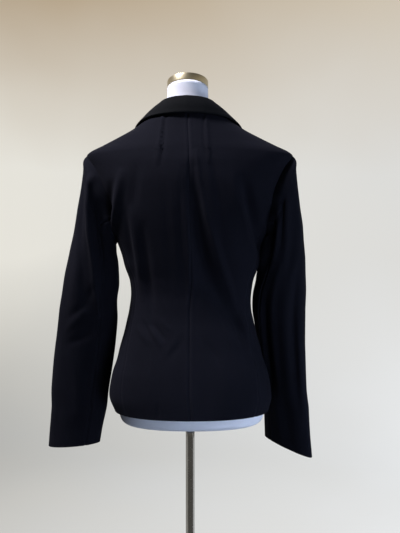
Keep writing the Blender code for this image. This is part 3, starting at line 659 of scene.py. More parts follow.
def capFinish():
    paint = Paint("champagneMetal")
    space = paint.place()
    x, y, z = paint.split(space)
    radius = ((x - capMetal["middleX"]) ** 2.0 + y ** 2.0) ** 0.5
    marks = [radius * capMetal["lathe"], z * capMetal["latheWall"], 0.0]
    brushed = paint.noise(paint.node("ShaderNodeCombineXYZ", {}, marks).outputs[0], 1.0, 3.0)
    smudge = paint.noise(space, capMetal["smudge"], 3.0)
    shade = (brushed * 0.7 + smudge * 0.3).clip()
    return paint.finish({
        "Base Color": paint.mixed(shade, capMetal["dark"], capMetal["bright"]),
        "Metallic": 1.0,
        "Roughness": (capMetal["roughness"] + (smudge - 0.5) * 0.16 + brushed * 0.08).clip(),
        "Normal": paint.relief(brushed, 0.0001, 0.3),
    })


chrome = {
    "dark": (0.30, 0.295, 0.28),
    "bright": (0.44, 0.43, 0.415),
    "streak": (900.0, 900.0, 9.0),
    "smudge": 22.0,
    "dust": 160.0,
    "dustFrom": 0.62,
    "roughness": 0.14,
}


def chromeFinish():
    paint = Paint("polishedSteel")
    space = paint.place()
    streak = paint.noise(paint.stretched(space, chrome["streak"]), 1.0)
    smudge = paint.noise(space, chrome["smudge"], 4.0)
    dust = ((paint.noise(space, chrome["dust"], 1.0) - chrome["dustFrom"]) * 5.0).clip()
    shade = (smudge * 0.7 + streak * 0.2).clip()
    return paint.finish({
        "Base Color": paint.mixed(shade, chrome["dark"], chrome["bright"]),
        "Metallic": 1.0,
        "Roughness": (chrome["roughness"] + smudge * 0.10 + dust * 0.22).clip(),
        "Normal": paint.relief(streak, 0.00005, 0.2),
    })


hornLook = {
    "dark": (0.0055, 0.0058, 0.0072),
    "light": (0.026, 0.023, 0.022),
    "swirl": (1.0, 1.0, 2.6),
    "swirlScale": 190.0,
    "scratch": (900.0, 120.0, 120.0),
    "roughness": 0.40,
    "gloss": 0.25,
}


def hornFinish():
    paint = Paint("darkHorn")
    space = paint.place()
    swirl = paint.noise(paint.stretched(space, hornLook["swirl"]), hornLook["swirlScale"], 3.0, 0.6)
    scratch = paint.noise(paint.stretched(space, hornLook["scratch"]), 1.0, 1.0)
    return paint.finish({
        "Base Color": paint.mixed(swirl, hornLook["dark"], hornLook["light"]),
        "Roughness": (hornLook["roughness"] + scratch * 0.16).clip(),
        "Normal": paint.relief(scratch, 0.00004, 0.25),
        "Specular IOR Level": hornLook["gloss"],
    })


threadLook = {
    "dark": (0.005, 0.006, 0.012),
    "light": (0.018, 0.020, 0.032),
    "ply": 1400.0,
    "roughness": 0.62,
    "sheen": 0.1,
}


def threadFinish():
    paint = Paint("sewingThread")
    ply = paint.noise(paint.place(), threadLook["ply"], 1.0)
    return paint.finish({
        "Base Color": paint.mixed(ply, threadLook["dark"], threadLook["light"]),
        "Roughness": (threadLook["roughness"] + ply * 0.2).clip(),
        "Normal": paint.relief(ply, 0.0001, 0.4),
        "Sheen Weight": threadLook["sheen"],
    })


navy = suitingFinish("navySuiting", suiting["deep"], suiting["soft"])
collarNavy = suitingFinish("collarSuiting", suiting["collarDeep"], suiting["collarSoft"])
jersey = jerseyFinish()
champagne = capFinish()
steel = chromeFinish()
horn = hornFinish()
thread = threadFinish()
print("finishes made")


# Every piece is fixed to the one body; most stand for an imported piece, which is hidden
def keep(piece, node):
    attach(piece, "root")
    if node:
        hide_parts(node)


def bodyPanel(name, side, angle, z, grain, ends=(1, 1), liftRule=None):
    dip, near = seamGroove(bareSurface(angle, z), ends)
    turned = mirroredAngle(angle, side)
    lift = dip if liftRule is None else dip + liftRule(bareSurface(turned, z)[..., 0])
    outer, inner = bodyPoint(turned, z, lift), bodyPoint(turned, z, lift - body["cloth"])
    piece = clothPiece(name + "_cloth", outer, inner, navy, grain)
    tagEdges(piece, near)
    keep(piece, name)


def buildBack(label, side):
    z = rowHeights(body["neckSeam"])[:, None]
    angle = drawnIn(outerAngle(z, True), 90.0, z)
    ends = (armholeEase(z), 1)
    bodyPanel("back_" + label, side, angle, z + 0 * angle, -1, ends)


def buildFront(label, side):
    z = rowHeights(body["frontNeck"])[:, None]
    end = angleAt(frontEdgeX(z), z)
    end = np.where(end > 0, end - 360, end)
    angle = drawnIn(outerAngle(z, False), end, z, (1, 0))
    ends = (armholeEase(z), 0)
    over = wrapLift if side < 0 else None  # the wearer's right front lies over the left
    bodyPanel("front_" + label, side, angle, z + 0 * angle, -1, ends, over)


def buildSide(label, side):
    z = lowRows()[:, None]
    tall = joinZ - body["hem"]
    v = (z - body["hem"]) / tall * (1 - seam["drawIn"] / tall)
    share = seam["drawIn"] / seam["sideWidth"]
    u = share + (1 - 2 * share) * crowded(body["sideColumns"])[None, :]
    join = body["armholeJoin"]
    arcAngle, arcZ = armholePlace(-join - (360 - 2 * join) * u)
    chord = (1 - u) * outerAngle(joinZ, False) + u * outerAngle(joinZ, True)
    angle = (1 - u) * outerAngle(z, False) + u * outerAngle(z, True) + v * (arcAngle - chord)
    z = body["hem"] + v * tall + v * (arcZ - joinZ)
    bodyPanel("side_" + label, side, angle, z, body["sideColumns"] // 2)


for label, side in (("left", 1), ("right", -1)):
    buildBack(label, side)
    buildSide(label, side)
    buildFront(label, side)
print("body panels made")

lapel = {
    "columns": ("share", "edgeX", "edgeZ"),
    "rows": (
        (0.00, 0.0100, 1.2160),
        (0.20, 0.0350, 1.2280),
        (0.45, 0.0660, 1.2620),
        (0.75, 0.0970, 1.3100),
        (1.00, 0.1170, 1.3520),
    ),
    "foot": 1.224,
    "top": 1.3955,
    "roll": 0.0036,
    "lift": 0.0012,
    "belly": 0.0012,
    "outside": 0.0004,  # how far the roll lies outside the front's edge
    "under": 0.0010,
    "turn": (-82, 84),  # degrees round the front's edge
    "turnColumns": 15,
    "downRows": 76,
    "faceColumns": 34,
    "flat": (0.090, 0.199),
    "area": 0.0128,
}


def buildLapel(label, side):
    edgeX = rowCurve(lapel["rows"], lapel["columns"], "edgeX", "share")
    edgeZ = rowCurve(lapel["rows"], lapel["columns"], "edgeZ", "share")
    share = crowded(lapel["downRows"])[:, None]
    u = crowded(lapel["faceColumns"])[None, :]
    rollZ = lapel["foot"] + (lapel["top"] - lapel["foot"]) * share
    rollX = rollLineX(rollZ) - lapel["outside"]
    x = rollX + (edgeX(share) - rollX) * u
    z = rollZ + (edgeZ(share) - rollZ) * u
    angle = mirroredAngle(angleAt(x, z), side)
    stand = lapel["lift"] + lapel["roll"] * (1 - u) ** 2 * (1 - 0.5 * share)
    stand = stand + lapel["belly"] * np.sin(np.pi * np.clip(u * 1.1, 0, 1)) * (1 - 0.3 * share)
    wrap = wrapLift(-x) if side < 0 else 0 * x
    plain = bodyPoint(angle, z, 0 * x, False)
    normal = surfaceNormal(angle, z)
    face = plain + normal * (stand + wrap + body["cloth"])[..., None]
    under = plain + normal * (stand + wrap)[..., None]
    inward = unit(plain[:, 1] - plain[:, 0])[:, None]
    top = face[:, :1]
    low = plain[:, :1] + normal[:, :1] * (wrap[:, :1] - body["cloth"] - lapel["under"])[..., None]
    middle = (top + low) / 2
    reach = (top - low) / 2
    arc = np.radians(np.linspace(*lapel["turn"], lapel["turnColumns"]))[None, :, None]
    radius = np.linalg.norm(reach, axis=-1, keepdims=True)
    turn = middle + reach * np.sin(arc) - inward * radius * np.cos(arc)
    radiusIn = radius - body["cloth"]
    turnIn = middle + unit(reach) * radiusIn * np.sin(arc) - inward * radiusIn * np.cos(arc)
    outer = np.concatenate([turn, face], 1)
    inner = np.concatenate([turnIn, under], 1)
    name = "lapel_" + label
    piece = clothPiece(name + "_cloth", outer, inner, navy, lapel["turnColumns"])
    near = np.linalg.norm(outer - outer[:, -1:], axis=-1)
    tagEdges(piece, np.minimum(near, np.linalg.norm(outer - outer[-1:], axis=-1)))
    keep(piece, name)


for label, side in (("left", 1), ("right", -1)):
    buildLapel(label, side)
print("lapels made")

collar = {
    "columns": ("seam", "seamZ", "rollX", "rollY", "rollZ", "fall", "fallZ"),
    "rows": (
        (90.0, 1.4390, 0.0000, 0.0670, 1.4620, 90.0, 1.4300),
        (66.5, 1.4390, 0.0235, 0.0620, 1.4610, 63.5, 1.4295),
        (43.5, 1.4390, 0.0430, 0.0475, 1.4590, 41.0, 1.4280),
        (21.0, 1.4390, 0.0525, 0.0260, 1.4570, 20.0, 1.4245),
        (3.0, 1.4392, 0.0550, 0.0000, 1.4550, 0.0, 1.4190),
        (-34.5, 1.4345, 0.0555, -0.0250, 1.4490, -24.0, 1.4080),
        (-49.0, 1.4220, 0.0570, -0.0440, 1.4350, -43.5, 1.3940),
        (-58.0, 1.4105, 0.0585, -0.0590, 1.4180, -53.0, 1.3825),
        (-65.0, 1.4010, 0.0570, -0.0680, 1.4050, -57.0, 1.3805),
    ),
    "cloth": 0.0022,
    "lift": 0.0032,
    "sewnLift": 0.0006,
    "halfRoll": 0.0026,
    "bow": 0.0022,
    "bowFull": 0.04,  # the fall bows fully where it is this deep
    "squareTo": 4,  # rows from the middle back that turn straight outwards
    "edgeSwell": 0.25,
    "edgeAt": 0.97,
    "edgeSpread": 0.05,
    "stations": 64,
    "steps": 49,
    "grain": 30,
    "flat": (0.406, 0.099),
    "area": 0.0300,
}


# Points along a smooth curve through a few, for a stack of rows
def smoothRun(points, count):
    total = points.shape[1]
    padded = np.concatenate([2 * points[:, :1] - points[:, 1:2], points,
                             2 * points[:, -1:] - points[:, -2:-1]], 1)
    at = np.linspace(0, total - 1, count)
    i = np.minimum(at.astype(int), total - 2)
    t = (at - i)[None, :, None]
    p0, p1, p2, p3 = (padded[:, i + k] for k in range(4))
    return 0.5 * (2 * p1 + (p2 - p0) * t + (2 * p0 - 5 * p1 + 4 * p2 - p3) * t * t
                  + (3 * p1 - p0 - 3 * p2 + p3) * t * t * t)


def gridNormals(grid):
    along = np.gradient(grid, axis=0)
    across = np.gradient(grid, axis=1)
    return unit(np.cross(along, across))


def buildCollar():
    rows = [(i,) + row for i, row in enumerate(collar["rows"])]
    names = ("station",) + collar["columns"]
    at = (len(rows) - 1) * np.linspace(0, 1, collar["stations"] + 1)
    value = {name: rowCurve(rows, names, name, "station")(at) for name in collar["columns"]}
    sewn = bareSurface(value["seam"], value["seamZ"]) + np.array([0, 0, collar["sewnLift"]])
    roll = np.stack([value["rollX"], value["rollY"], value["rollZ"]], -1)
    fall = bodyPoint(value["fall"], value["fallZ"], collar["lift"] + 0 * at, False)
    square = (at < collar["squareTo"])[:, None]
    outward = unit(np.where(square, sewn, fall - sewn) * np.array([1, 1, 0]))
    for _ in range(6):  # evens out the change of direction at the shoulder
        outward[1:-1] = unit((outward[:-2] + outward[1:-1] * 2 + outward[2:]) / 4)
    half = np.minimum(collar["halfRoll"], 0.35 * np.linalg.norm(roll - sewn, axis=-1))[:, None]
    near, far = roll - outward * half, roll + outward * half
    crest = roll + np.array([0, 0, 1.0]) * half * 0.8
    drop = fall - far
    bow = (outward + np.array([0, 0, 0.6])) * collar["bow"]
    bow = bow * np.minimum(np.linalg.norm(drop, axis=-1, keepdims=True) / collar["bowFull"], 1)
    profile = [sewn, (sewn + near) / 2, near, crest, far]
    for share in (0.25, 0.5, 0.75, 1.0):
        profile.append(far + drop * share + bow * math.sin(math.pi * share))
    halfGrid = smoothRun(np.stack(profile, 1), collar["steps"])
    mirror = halfGrid[1:] * np.array([-1, 1, 1])
    under = np.concatenate([halfGrid[::-1], mirror])
    normals = gridNormals(under)
    if normals[len(under) // 2, -6, 1] < 0:  # at the middle back the fall faces backwards
        normals = -normals
    away = np.linspace(0, 1, collar["steps"]) - collar["edgeAt"]
    swell = collar["cloth"] * (1 + collar["edgeSwell"] * bump(away, collar["edgeSpread"]))
    face = under + normals * swell[None, :, None]
    piece = clothPiece("collar_cloth", face, under, collarNavy, collar["grain"])
    tagEdges(piece, np.linalg.norm(face - face[:, -1:], axis=-1))
    keep(piece, "collar")


buildCollar()
print("collar made")

sleeve = {
    "columns": ("outX", "outY", "outZ", "inX", "inY", "inZ", "deepBack", "deepFront"),
    "hang": (0.95, 0.0, -0.31),  # the way from the armhole into the sleeve
    "gap": 0.0002,
    "gapMore": 0.0006,
    "allowance": (0.0050, 0.0034, 0.0020, 0.0010),  # the seam's turned-in edge
    "seam": 120.0,
    "drawIn": 0.42,  # degrees, at each side of a seam
    "rings": 150,
    "cuffRows": (0.0, 0.012, 0.028, 0.055, 0.10),  # in table rows, up from the cuff's edge
    "capRings": 14,
    "capCrowding": 0.4,
    "freeRow": 60,  # well below the armhole
    "upperColumns": 112,
    "underColumns": 60,
    "crowding": 0.7,
    "head": 0.0046,  # how far the sleeve head stands over its seam
    "headAt": 0.012,
    "headSpread": 0.0105,
    "headFront": 0.35,  # the head's share at the front and below
    "headDip": 0.0002,
    "headDipSpread": 0.0020,
    "turnScale": 0.00075,  # metres round the sleeve for a degree
}
sleeveRows = {
    "left": (
        (0.2110, 0.000, 1.343, 0.1520, 0.000, 1.181, 0.053, 0.060),
        (0.2160, 0.000, 1.303, 0.1505, 0.000, 1.168, 0.056, 0.060),
        (0.2240, 0.000, 1.258, 0.1475, 0.000, 1.150, 0.056, 0.058),
        (0.2330, -0.001, 1.213, 0.1460, -0.001, 1.130, 0.054, 0.055),
        (0.2450, -0.002, 1.168, 0.1450, -0.002, 1.105, 0.051, 0.052),
        (0.2565, -0.004, 1.118, 0.1475, -0.004, 1.075, 0.047, 0.048),
        (0.2630, -0.007, 1.062, 0.1460, -0.007, 1.040, 0.043, 0.044),
        (0.2690, -0.010, 1.005, 0.1495, -0.010, 0.995, 0.039, 0.040),
        (0.2760, -0.014, 0.950, 0.1560, -0.014, 0.948, 0.036, 0.036),
        (0.2810, -0.017, 0.895, 0.1640, -0.017, 0.900, 0.033, 0.033),
        (0.2855, -0.020, 0.840, 0.1735, -0.020, 0.850, 0.031, 0.031),
        (0.2890, -0.023, 0.805, 0.1815, -0.023, 0.815, 0.029, 0.029),
        (0.2915, -0.025, 0.776, 0.1870, -0.025, 0.784, 0.028, 0.028),
    ),
    "right": (
        (0.2105, 0.000, 1.343, 0.1500, 0.000, 1.181, 0.053, 0.060),
        (0.2140, 0.003, 1.303, 0.1460, -0.002, 1.170, 0.056, 0.060),
        (0.2185, 0.008, 1.260, 0.1420, -0.006, 1.155, 0.054, 0.058),
        (0.2230, 0.014, 1.215, 0.1395, -0.014, 1.135, 0.051, 0.056),
        (0.2225, 0.020, 1.170, 0.1365, -0.022, 1.112, 0.046, 0.053),
        (0.2195, 0.025, 1.120, 0.1335, -0.031, 1.085, 0.040, 0.051),
        (0.2195, 0.026, 1.065, 0.1340, -0.039, 1.050, 0.033, 0.049),
        (0.2185, 0.025, 1.010, 0.1385, -0.049, 1.005, 0.027, 0.046),
        (0.2200, 0.022, 0.955, 0.1445, -0.062, 0.960, 0.023, 0.042),
        (0.2230, 0.017, 0.905, 0.1500, -0.073, 0.915, 0.021, 0.038),
        (0.2270, 0.012, 0.855, 0.1535, -0.079, 0.872, 0.021, 0.035),
        (0.2320, 0.007, 0.805, 0.1550, -0.081, 0.828, 0.023, 0.032),
        (0.2370, 0.004, 0.759, 0.1565, -0.082, 0.783, 0.025, 0.031),
    ),
}
# Round the sleeve in degrees, from its outer edge through the back, and height above the floor
sleeveFolds = {
    "left": (
        (118.0, 1.330, 1.150, -0.0075, 15.0),
        (66.0, 1.300, 0.990, 0.0035, 16.0),
        (255.0, 1.300, 1.140, -0.0050, 18.0),
        (150.0, 1.120, 0.960, -0.0035, 20.0),
    ),
    "right": (
        (132.0, 1.300, 1.120, -0.0035, 15.0),
        (58.0, 1.300, 1.060, -0.0030, 12.0),
        (30.0, 1.160, 0.840, -0.0050, 14.0),
        (255.0, 1.300, 1.140, -0.0050, 18.0),
    ),
}
sleeveCreases = {
    "left": (
        (54.0, 1.352, 78.0, 1.215, 118.0, 1.045, 0.0098, 0.0046),  # long ridge behind the arm
        (86.0, 1.310, 110.0, 1.200, 132.0, 1.080, -0.0078, 0.0095),
        (36.0, 1.300, 56.0, 1.210, 92.0, 1.060, -0.0040, 0.0064),
        (30.0, 1.200, 40.0, 1.080, 46.0, 0.980, -0.0016, 0.0140),
        (108.0, 1.110, 88.0, 1.064, 58.0, 1.040, -0.0022, 0.0060),
        (116.0, 1.045, 92.0, 1.004, 60.0, 0.985, -0.0020, 0.0070),
        (96.0, 1.082, 80.0, 1.040, 52.0, 1.014, 0.0018, 0.0060),
        (70.0, 0.960, 88.0, 0.900, 92.0, 0.840, 0.0016, 0.0070),
        (104.0, 0.950, 110.0, 0.890, 112.0, 0.840, -0.0018, 0.0080),
        (46.0, 0.900, 50.0, 0.850, 52.0, 0.800, -0.0012, 0.0090),
        (150.0, 1.060, 128.0, 1.010, 100.0, 0.985, 0.0018, 0.0070),
        (-40.0, 1.120, -62.0, 1.060, -96.0, 1.030, -0.0026, 0.0070),
        (-50.0, 1.070, -76.0, 1.010, -104.0, 0.990, -0.0022, 0.0070),
        (-44.0, 1.095, -68.0, 1.036, -98.0, 1.010, 0.0018, 0.0060),
        (-60.0, 1.310, -66.0, 1.200, -76.0, 1.100, 0.0030, 0.0080),
        (-84.0, 1.300, -90.0, 1.200, -96.0, 1.120, -0.0024, 0.0090),
        (10.0, 1.240, 8.0, 1.120, 4.0, 1.000, -0.0012, 0.0100),
        (-30.0, 0.960, -34.0, 0.900, -36.0, 0.830, 0.0014, 0.0090),
    ),
    "right": (
        (93.0, 1.335, 92.0, 1.260, 92.0, 1.180, -0.0030, 0.0034),
        (100.0, 1.330, 108.0, 1.240, 110.0, 1.140, 0.0052, 0.0062),
        (78.0, 1.325, 78.0, 1.250, 76.0, 1.150, 0.0018, 0.0060),
        (30.0, 1.335, 33.0, 1.200, 38.0, 1.060, 0.0014, 0.0070),
        (86.0, 1.140, 84.0, 1.020, 80.0, 0.880, 0.0036, 0.0060),
        (103.0, 1.090, 103.0, 0.990, 100.0, 0.890, -0.0030, 0.0050),
        (121.0, 1.070, 120.0, 1.000, 118.0, 0.930, 0.0026, 0.0055),
        (34.0, 1.150, 32.0, 1.020, 30.0, 0.880, -0.0024, 0.0080),
        (58.0, 1.120, 56.0, 0.980, 54.0, 0.860, 0.0022, 0.0090),
        (100.0, 0.880, 92.0, 0.830, 84.0, 0.785, 0.0024, 0.0080),
        (76.0, 0.880, 70.0, 0.830, 64.0, 0.775, -0.0020, 0.0080),
        (46.0, 0.870, 44.0, 0.820, 42.0, 0.770, 0.0012, 0.0080),
        (180.0, 1.150, 176.0, 1.090, 180.0, 1.028, 0.0056, 0.0300),  # nears the waist
        (176.0, 1.200, 176.0, 1.174, 178.0, 1.140, 0.0044, 0.0160),
        (150.0, 1.215, 156.0, 1.180, 162.0, 1.130, 0.0095, 0.0160),
        (-40.0, 1.120, -60.0, 1.060, -92.0, 1.030, -0.0026, 0.0070),
        (-48.0, 1.060, -74.0, 1.000, -104.0, 0.985, -0.0022, 0.0070),
        (-42.0, 1.092, -66.0, 1.030, -98.0, 1.006, 0.0018, 0.0060),
        (-62.0, 1.310, -66.0, 1.200, -74.0, 1.100, 0.0030, 0.0080),
        (-86.0, 1.300, -90.0, 1.200, -96.0, 1.120, -0.0024, 0.0090),
        (-20.0, 1.180, -26.0, 1.100, -30.0, 1.000, 0.0018, 0.0100),
    ),
}


def sleeveRelief(turn, z, label):
    total = np.zeros(np.broadcast(turn, z).shape)
    for centre, startZ, endZ, height, spread in sleeveFolds[label]:
        away = (turn - centre + 180) % 360 - 180
        share = (startZ - z) / (startZ - endZ)
        inside = (share > 0) & (share < 1)
        total += np.where(inside, height * np.sin(np.pi * np.clip(share, 0, 1)) * bump(away, spread), 0)
    near = (turn + 180) % 360 - 180
    scale = sleeve["turnScale"]
    for t0, z0, t1, z1, t2, z2, height, spread in sleeveCreases[label]:
        row = (t0 * scale, z0, t1 * scale, z1, t2 * scale, z2, height, spread)
        total += foldHeight(near * scale, z, (row,))
    return total


# The sleeve's own rings, each between an outer and an inner edge, down to the cuff
def sleeveRings(label, cosine, sine):
    rows = [(i,) + row for i, row in enumerate(sleeveRows[label])]
    names = ("ring",) + sleeve["columns"]
    end = len(rows) - 1 - np.array(sleeve["cuffRows"])[::-1]
    at = np.concatenate([np.linspace(0, end[0], sleeve["rings"])[:-1], end])
    value = {name: rowCurve(rows, names, name, "ring")(at) for name in sleeve["columns"]}
    outEdge = np.stack([value["outX"], value["outY"], value["outZ"]], -1)
    inEdge = np.stack([value["inX"], value["inY"], value["inZ"]], -1)
    middle, across = (outEdge + inEdge) / 2, (outEdge - inEdge) / 2
    slant = across[:, 1:2] / (across ** 2).sum(-1, keepdims=True)
    back = unit(np.array([0.0, 1.0, 0.0]) - across * slant)
    deep = np.where(sine[None] > 0, value["deepBack"][:, None], value["deepFront"][:, None])
    return (middle[:, None] + across[:, None] * cosine[None, :, None]
            + back[:, None] * (sine[None] * deep)[..., None])


# A smooth run from the armhole's edge into the first ring
def sleeveCap(first, rings, cosine):
    t = crowded(sleeve["capRings"], sleeve["capCrowding"])[:-1, None, None]
    leave = rings[0] - first
    leave[:, 0] += 0.5 * np.abs(leave[:, 2]) * np.clip(cosine, 0, 1)
    down = rings[1] - rings[0]
    arrive = down * np.linalg.norm(leave, axis=-1, keepdims=True)
    arrive = arrive / np.maximum(np.linalg.norm(down, axis=-1, keepdims=True), 1e-9)
    return (first * (2 * t ** 3 - 3 * t ** 2 + 1) + leave * (t ** 3 - 2 * t ** 2 + t)
            + rings[0] * (3 * t ** 2 - 2 * t ** 3) + arrive * (t ** 3 - t ** 2))


# Rows from a turned-in edge at the armhole to the cuff, with the lift of their folds
def sleeveSurface(label, turn, side):
    cosine, sine = np.cos(np.radians(turn)), np.sin(np.radians(turn))
    rings = sleeveRings(label, cosine, sine)
    angle, z = armholePlace((turn + 180) % 360 - 180)
    turned = mirroredAngle(angle, side)
    flip = np.array([side, 1, 1])
    step = sleeve["gap"] + sleeve["gapMore"] * (1 - cosine) / 2
    first = bodyPoint(turned, z) * flip + np.array(sleeve["hang"]) * step[:, None]
    inward = -surfaceNormal(turned, z) * flip
    allowance = [first + inward * depth for depth in sleeve["allowance"]]
    grid = np.concatenate([np.array(allowance), sleeveCap(first, rings, cosine), rings])
    normals = gridNormals(grid)
    free = grid[sleeve["freeRow"]:]
    if ((free - free.mean(1, keepdims=True)) * normals[sleeve["freeRow"]:]).sum() < 0:
        normals = -normals
    turnedIn = len(allowance)
    start = smooth(0, 1, np.linspace(0, 1, sleeve["capRings"]))
    down = np.concatenate([np.zeros(turnedIn), start, np.ones(len(rings))])[:, None]
    lift = sleeveRelief(turn[None], grid[..., 2], label) * down
    walk = np.cumsum(np.linalg.norm(np.diff(grid[turnedIn:], axis=0), axis=-1), 0)
    depth = np.concatenate([np.zeros((1, len(turn))), walk])
    low = sleeve["headFront"]
    top = (low + (1 - low) * np.clip(sine, 0, 1))[None]
    head = sleeve["head"] * top * bump(depth - sleeve["headAt"], sleeve["headSpread"])
    lift[turnedIn:] += head - sleeve["headDip"] * bump(depth, sleeve["headDipSpread"])
    return grid, normals, lift


def buildSleeve(label, side):
    end = sleeve["seam"] - sleeve["drawIn"]
    start = sleeve["seam"] + sleeve["drawIn"]
    upper = crowded(sleeve["upperColumns"], sleeve["crowding"])
    under = crowded(sleeve["underColumns"], sleeve["crowding"])
    mirror = np.array([side, 1, 1])
    for part, turn in (("upper", -end + 2 * end * upper), ("under", start + (360 - 2 * start) * under)):
        grid, normals, lift = sleeveSurface(label, turn, side)
        dip, near = seamGroove(grid)
        outer = grid + normals * (lift + dip)[..., None]
        inner = outer - normals * body["cloth"]
        name = "sleeve_" + label + "_" + part
        piece = clothPiece(name + "_cloth", outer * mirror, inner * mirror, navy, len(turn) // 2)
        tagEdges(piece, near)
        keep(piece, name)


buildSleeve("left", 1)
buildSleeve("right", -1)
print("sleeves made")

form = {
    "insetColumns": ("z", "inset"),
    "insetRows": (
        (0.857, 0.0080), (0.886, 0.0120), (1.000, 0.0155), (1.080, 0.0165), (1.200, 0.0165),
        (1.300, 0.0140), (1.340, 0.0092), (1.360, 0.0062), (1.372, 0.0052), (1.420, 0.0050),
        (1.439, 0.0045),
    ),
    "rim": ((0.832, 0.0190), (0.8335, 0.0130), (0.838, 0.0070), (0.846, 0.0030)),
    "rows": ((0.857, 1.345, 0.012), (1.345, 1.437, 0.006)),  # from, to and step
    "halfShoulder": 0.186,
    "neck": ((1.446, 0.0560), (1.453, 0.0480), (1.464, 0.0430), (1.480, 0.0410), (1.4945, 0.0405)),
    "tilt": 12.0,
    "around": 160,
    "finer": 3,
    "endShares": (0.985, 0.93, 0.6, 0.25, 0.04),  # rings that close an end
}


# A closed skin over rings of points, its ends drawn in by smaller rings
def ringsMesh(name, rings, finish, leaning=False):
    ends = []
    for ring in (rings[0], rings[-1]):
        middle = ring.mean(0)
        ends.append([middle + (ring - middle) * share for share in form["endShares"]])
    rings = np.concatenate([np.array(ends[0][::-1]), rings, np.array(ends[1])])
    points = rings.reshape(-1, 3).copy()
    if leaning:
        points[:, 0] += leanShift(points[:, 2])
    number = np.arange(len(points)).reshape(rings.shape[:2])
    after = np.roll(number, -1, axis=1)
    faces = np.stack([number[:-1], after[:-1], after[1:], number[1:]], -1).reshape(-1, 4).tolist()
    faces += [number[0][::-1].tolist(), number[-1].tolist()]
    across = np.linalg.norm(np.roll(rings, -1, axis=1) - rings, axis=-1)
    u = np.cumsum(across, 1) - across
    v = np.concatenate([[0.0], np.cumsum(np.linalg.norm(np.diff(rings[:, 0], axis=0), axis=-1))])
    place = np.stack([u, v[:, None] + 0 * u], -1).reshape(-1, 2)
    return placed(name, mappedMesh(name, points, faces, place), finish)


def formRing(turn, z, depth, placeZ=None):
    point = bareSurface(turn, z) - surfaceNormal(turn, z) * depth
    point[:, 0] = np.clip(point[:, 0], -form["halfShoulder"], form["halfShoulder"])
    if placeZ is not None:  # the rim repeats the lowest ring, drawn in further
        point[:, 2] = placeZ
    return point


def buildForm():
    inset = rowCurve(form["insetRows"], form["insetColumns"], "inset")
    turn = 360 * np.arange(form["around"]) / form["around"]
    hem = body["hem"]
    rings = [formRing(turn, hem, inset(hem) + shrink, z) for z, shrink in form["rim"]]
    for z in np.concatenate([np.arange(*run) for run in form["rows"]]):
        rings.append(formRing(turn, float(z), float(inset(z))))
    tilt = math.tan(math.radians(form["tilt"]))
    around = np.radians(turn)
    for i, (z, radius) in enumerate(form["neck"]):
        y = radius * np.sin(around)
        slope = tilt * (i + 1) / len(form["neck"])
        rings.append(np.stack([radius * np.cos(around), y, z + slope * y], -1))
    rings = np.stack(rings, 1)  # round, then up, so that the smooth run goes up
    fine = smoothRun(rings, rings.shape[1] * form["finer"])
    piece = ringsMesh("form_jersey", np.swapaxes(fine, 0, 1), jersey, True)
    keep(piece, "form_torso")


buildForm()

stand = {
    "capRadius": 0.0410,
    "capThickness": 0.0155,
    "capBevel": 0.0022,
    "capIn": 0.004,  # the cap's underside and the step of its crown, in from its edge
    "crownIn": 0.012,
    "crownRise": 0.0006,
    "crownHole": 0.006,
    "baseBevel": 0.004,
    "poleRadius": 0.009,
    "poleLevels": 24,
    "poleAround": 64,
    "fit": 0.0003,
    "around": 96,
    "base": (
        (0.155, 0.000), (0.155, 0.006), (0.152, 0.009), (0.100, 0.013),
        (0.040, 0.018), (0.020, 0.022), (0.017, 0.040), (0.015, 0.042),
    ),
}


def turnedRings(profile, around):
    turn = 2 * np.pi * np.arange(around) / around
    ring = np.stack([np.cos(turn), np.sin(turn), 0 * turn], -1)
    return np.array([ring * radius + np.array([0, 0, z]) for radius, z in profile])


# A profile with its corners rounded
def softProfile(profile, radius, steps=5):
    points = [np.array(p, float) for p in profile]
    out = [points[0]]
    for before, here, after in zip(points, points[1:], points[2:]):
        toBefore, toAfter = before - here, after - here
        reach = min(radius, np.linalg.norm(toBefore) * 0.45, np.linalg.norm(toAfter) * 0.45)
        start = here + toBefore / np.linalg.norm(toBefore) * reach
        end = here + toAfter / np.linalg.norm(toAfter) * reach
        for t in np.linspace(0, 1, steps):
            out.append(start * (1 - t) ** 2 + here * 2 * t * (1 - t) + end * t * t)
    return out + [points[-1]]


def buildStand():
    r, h, rise = stand["capRadius"], stand["capThickness"], stand["crownRise"]
    corners = ((r - stand["capIn"], 0.0), (r, 0.0), (r, h), (r - stand["crownIn"], h + rise),
               (stand["crownHole"], h + 2 * rise))
    rings = turnedRings(softProfile(corners, stand["capBevel"]), stand["around"])
    tilt = math.radians(form["tilt"])
    top = form["neck"][-1][0]
    y, z = rings[..., 1].copy(), rings[..., 2].copy()
    rings[..., 1] = y * math.cos(tilt) - z * math.sin(tilt)
    rings[..., 2] = y * math.sin(tilt) + z * math.cos(tilt) + top + stand["fit"]
    rings[..., 0] += float(leanShift(top))
    keep(ringsMesh("neck_cap_metal", rings, champagne), "neck_cap")

    rings = turnedRings(softProfile(stand["base"], stand["baseBevel"]), stand["around"])
    keep(ringsMesh("base_disc", rings, steel), "base")
    foot = stand["base"][-1][1] + stand["fit"]
    head = form["rim"][0][0] - stand["fit"]
    profile = [(stand["poleRadius"], level) for level in np.linspace(foot, head, stand["poleLevels"])]
    rings = turnedRings(profile, stand["poleAround"])
    keep(ringsMesh("pole_tube", rings, steel), "pole")


buildStand()
print("form and stand made")

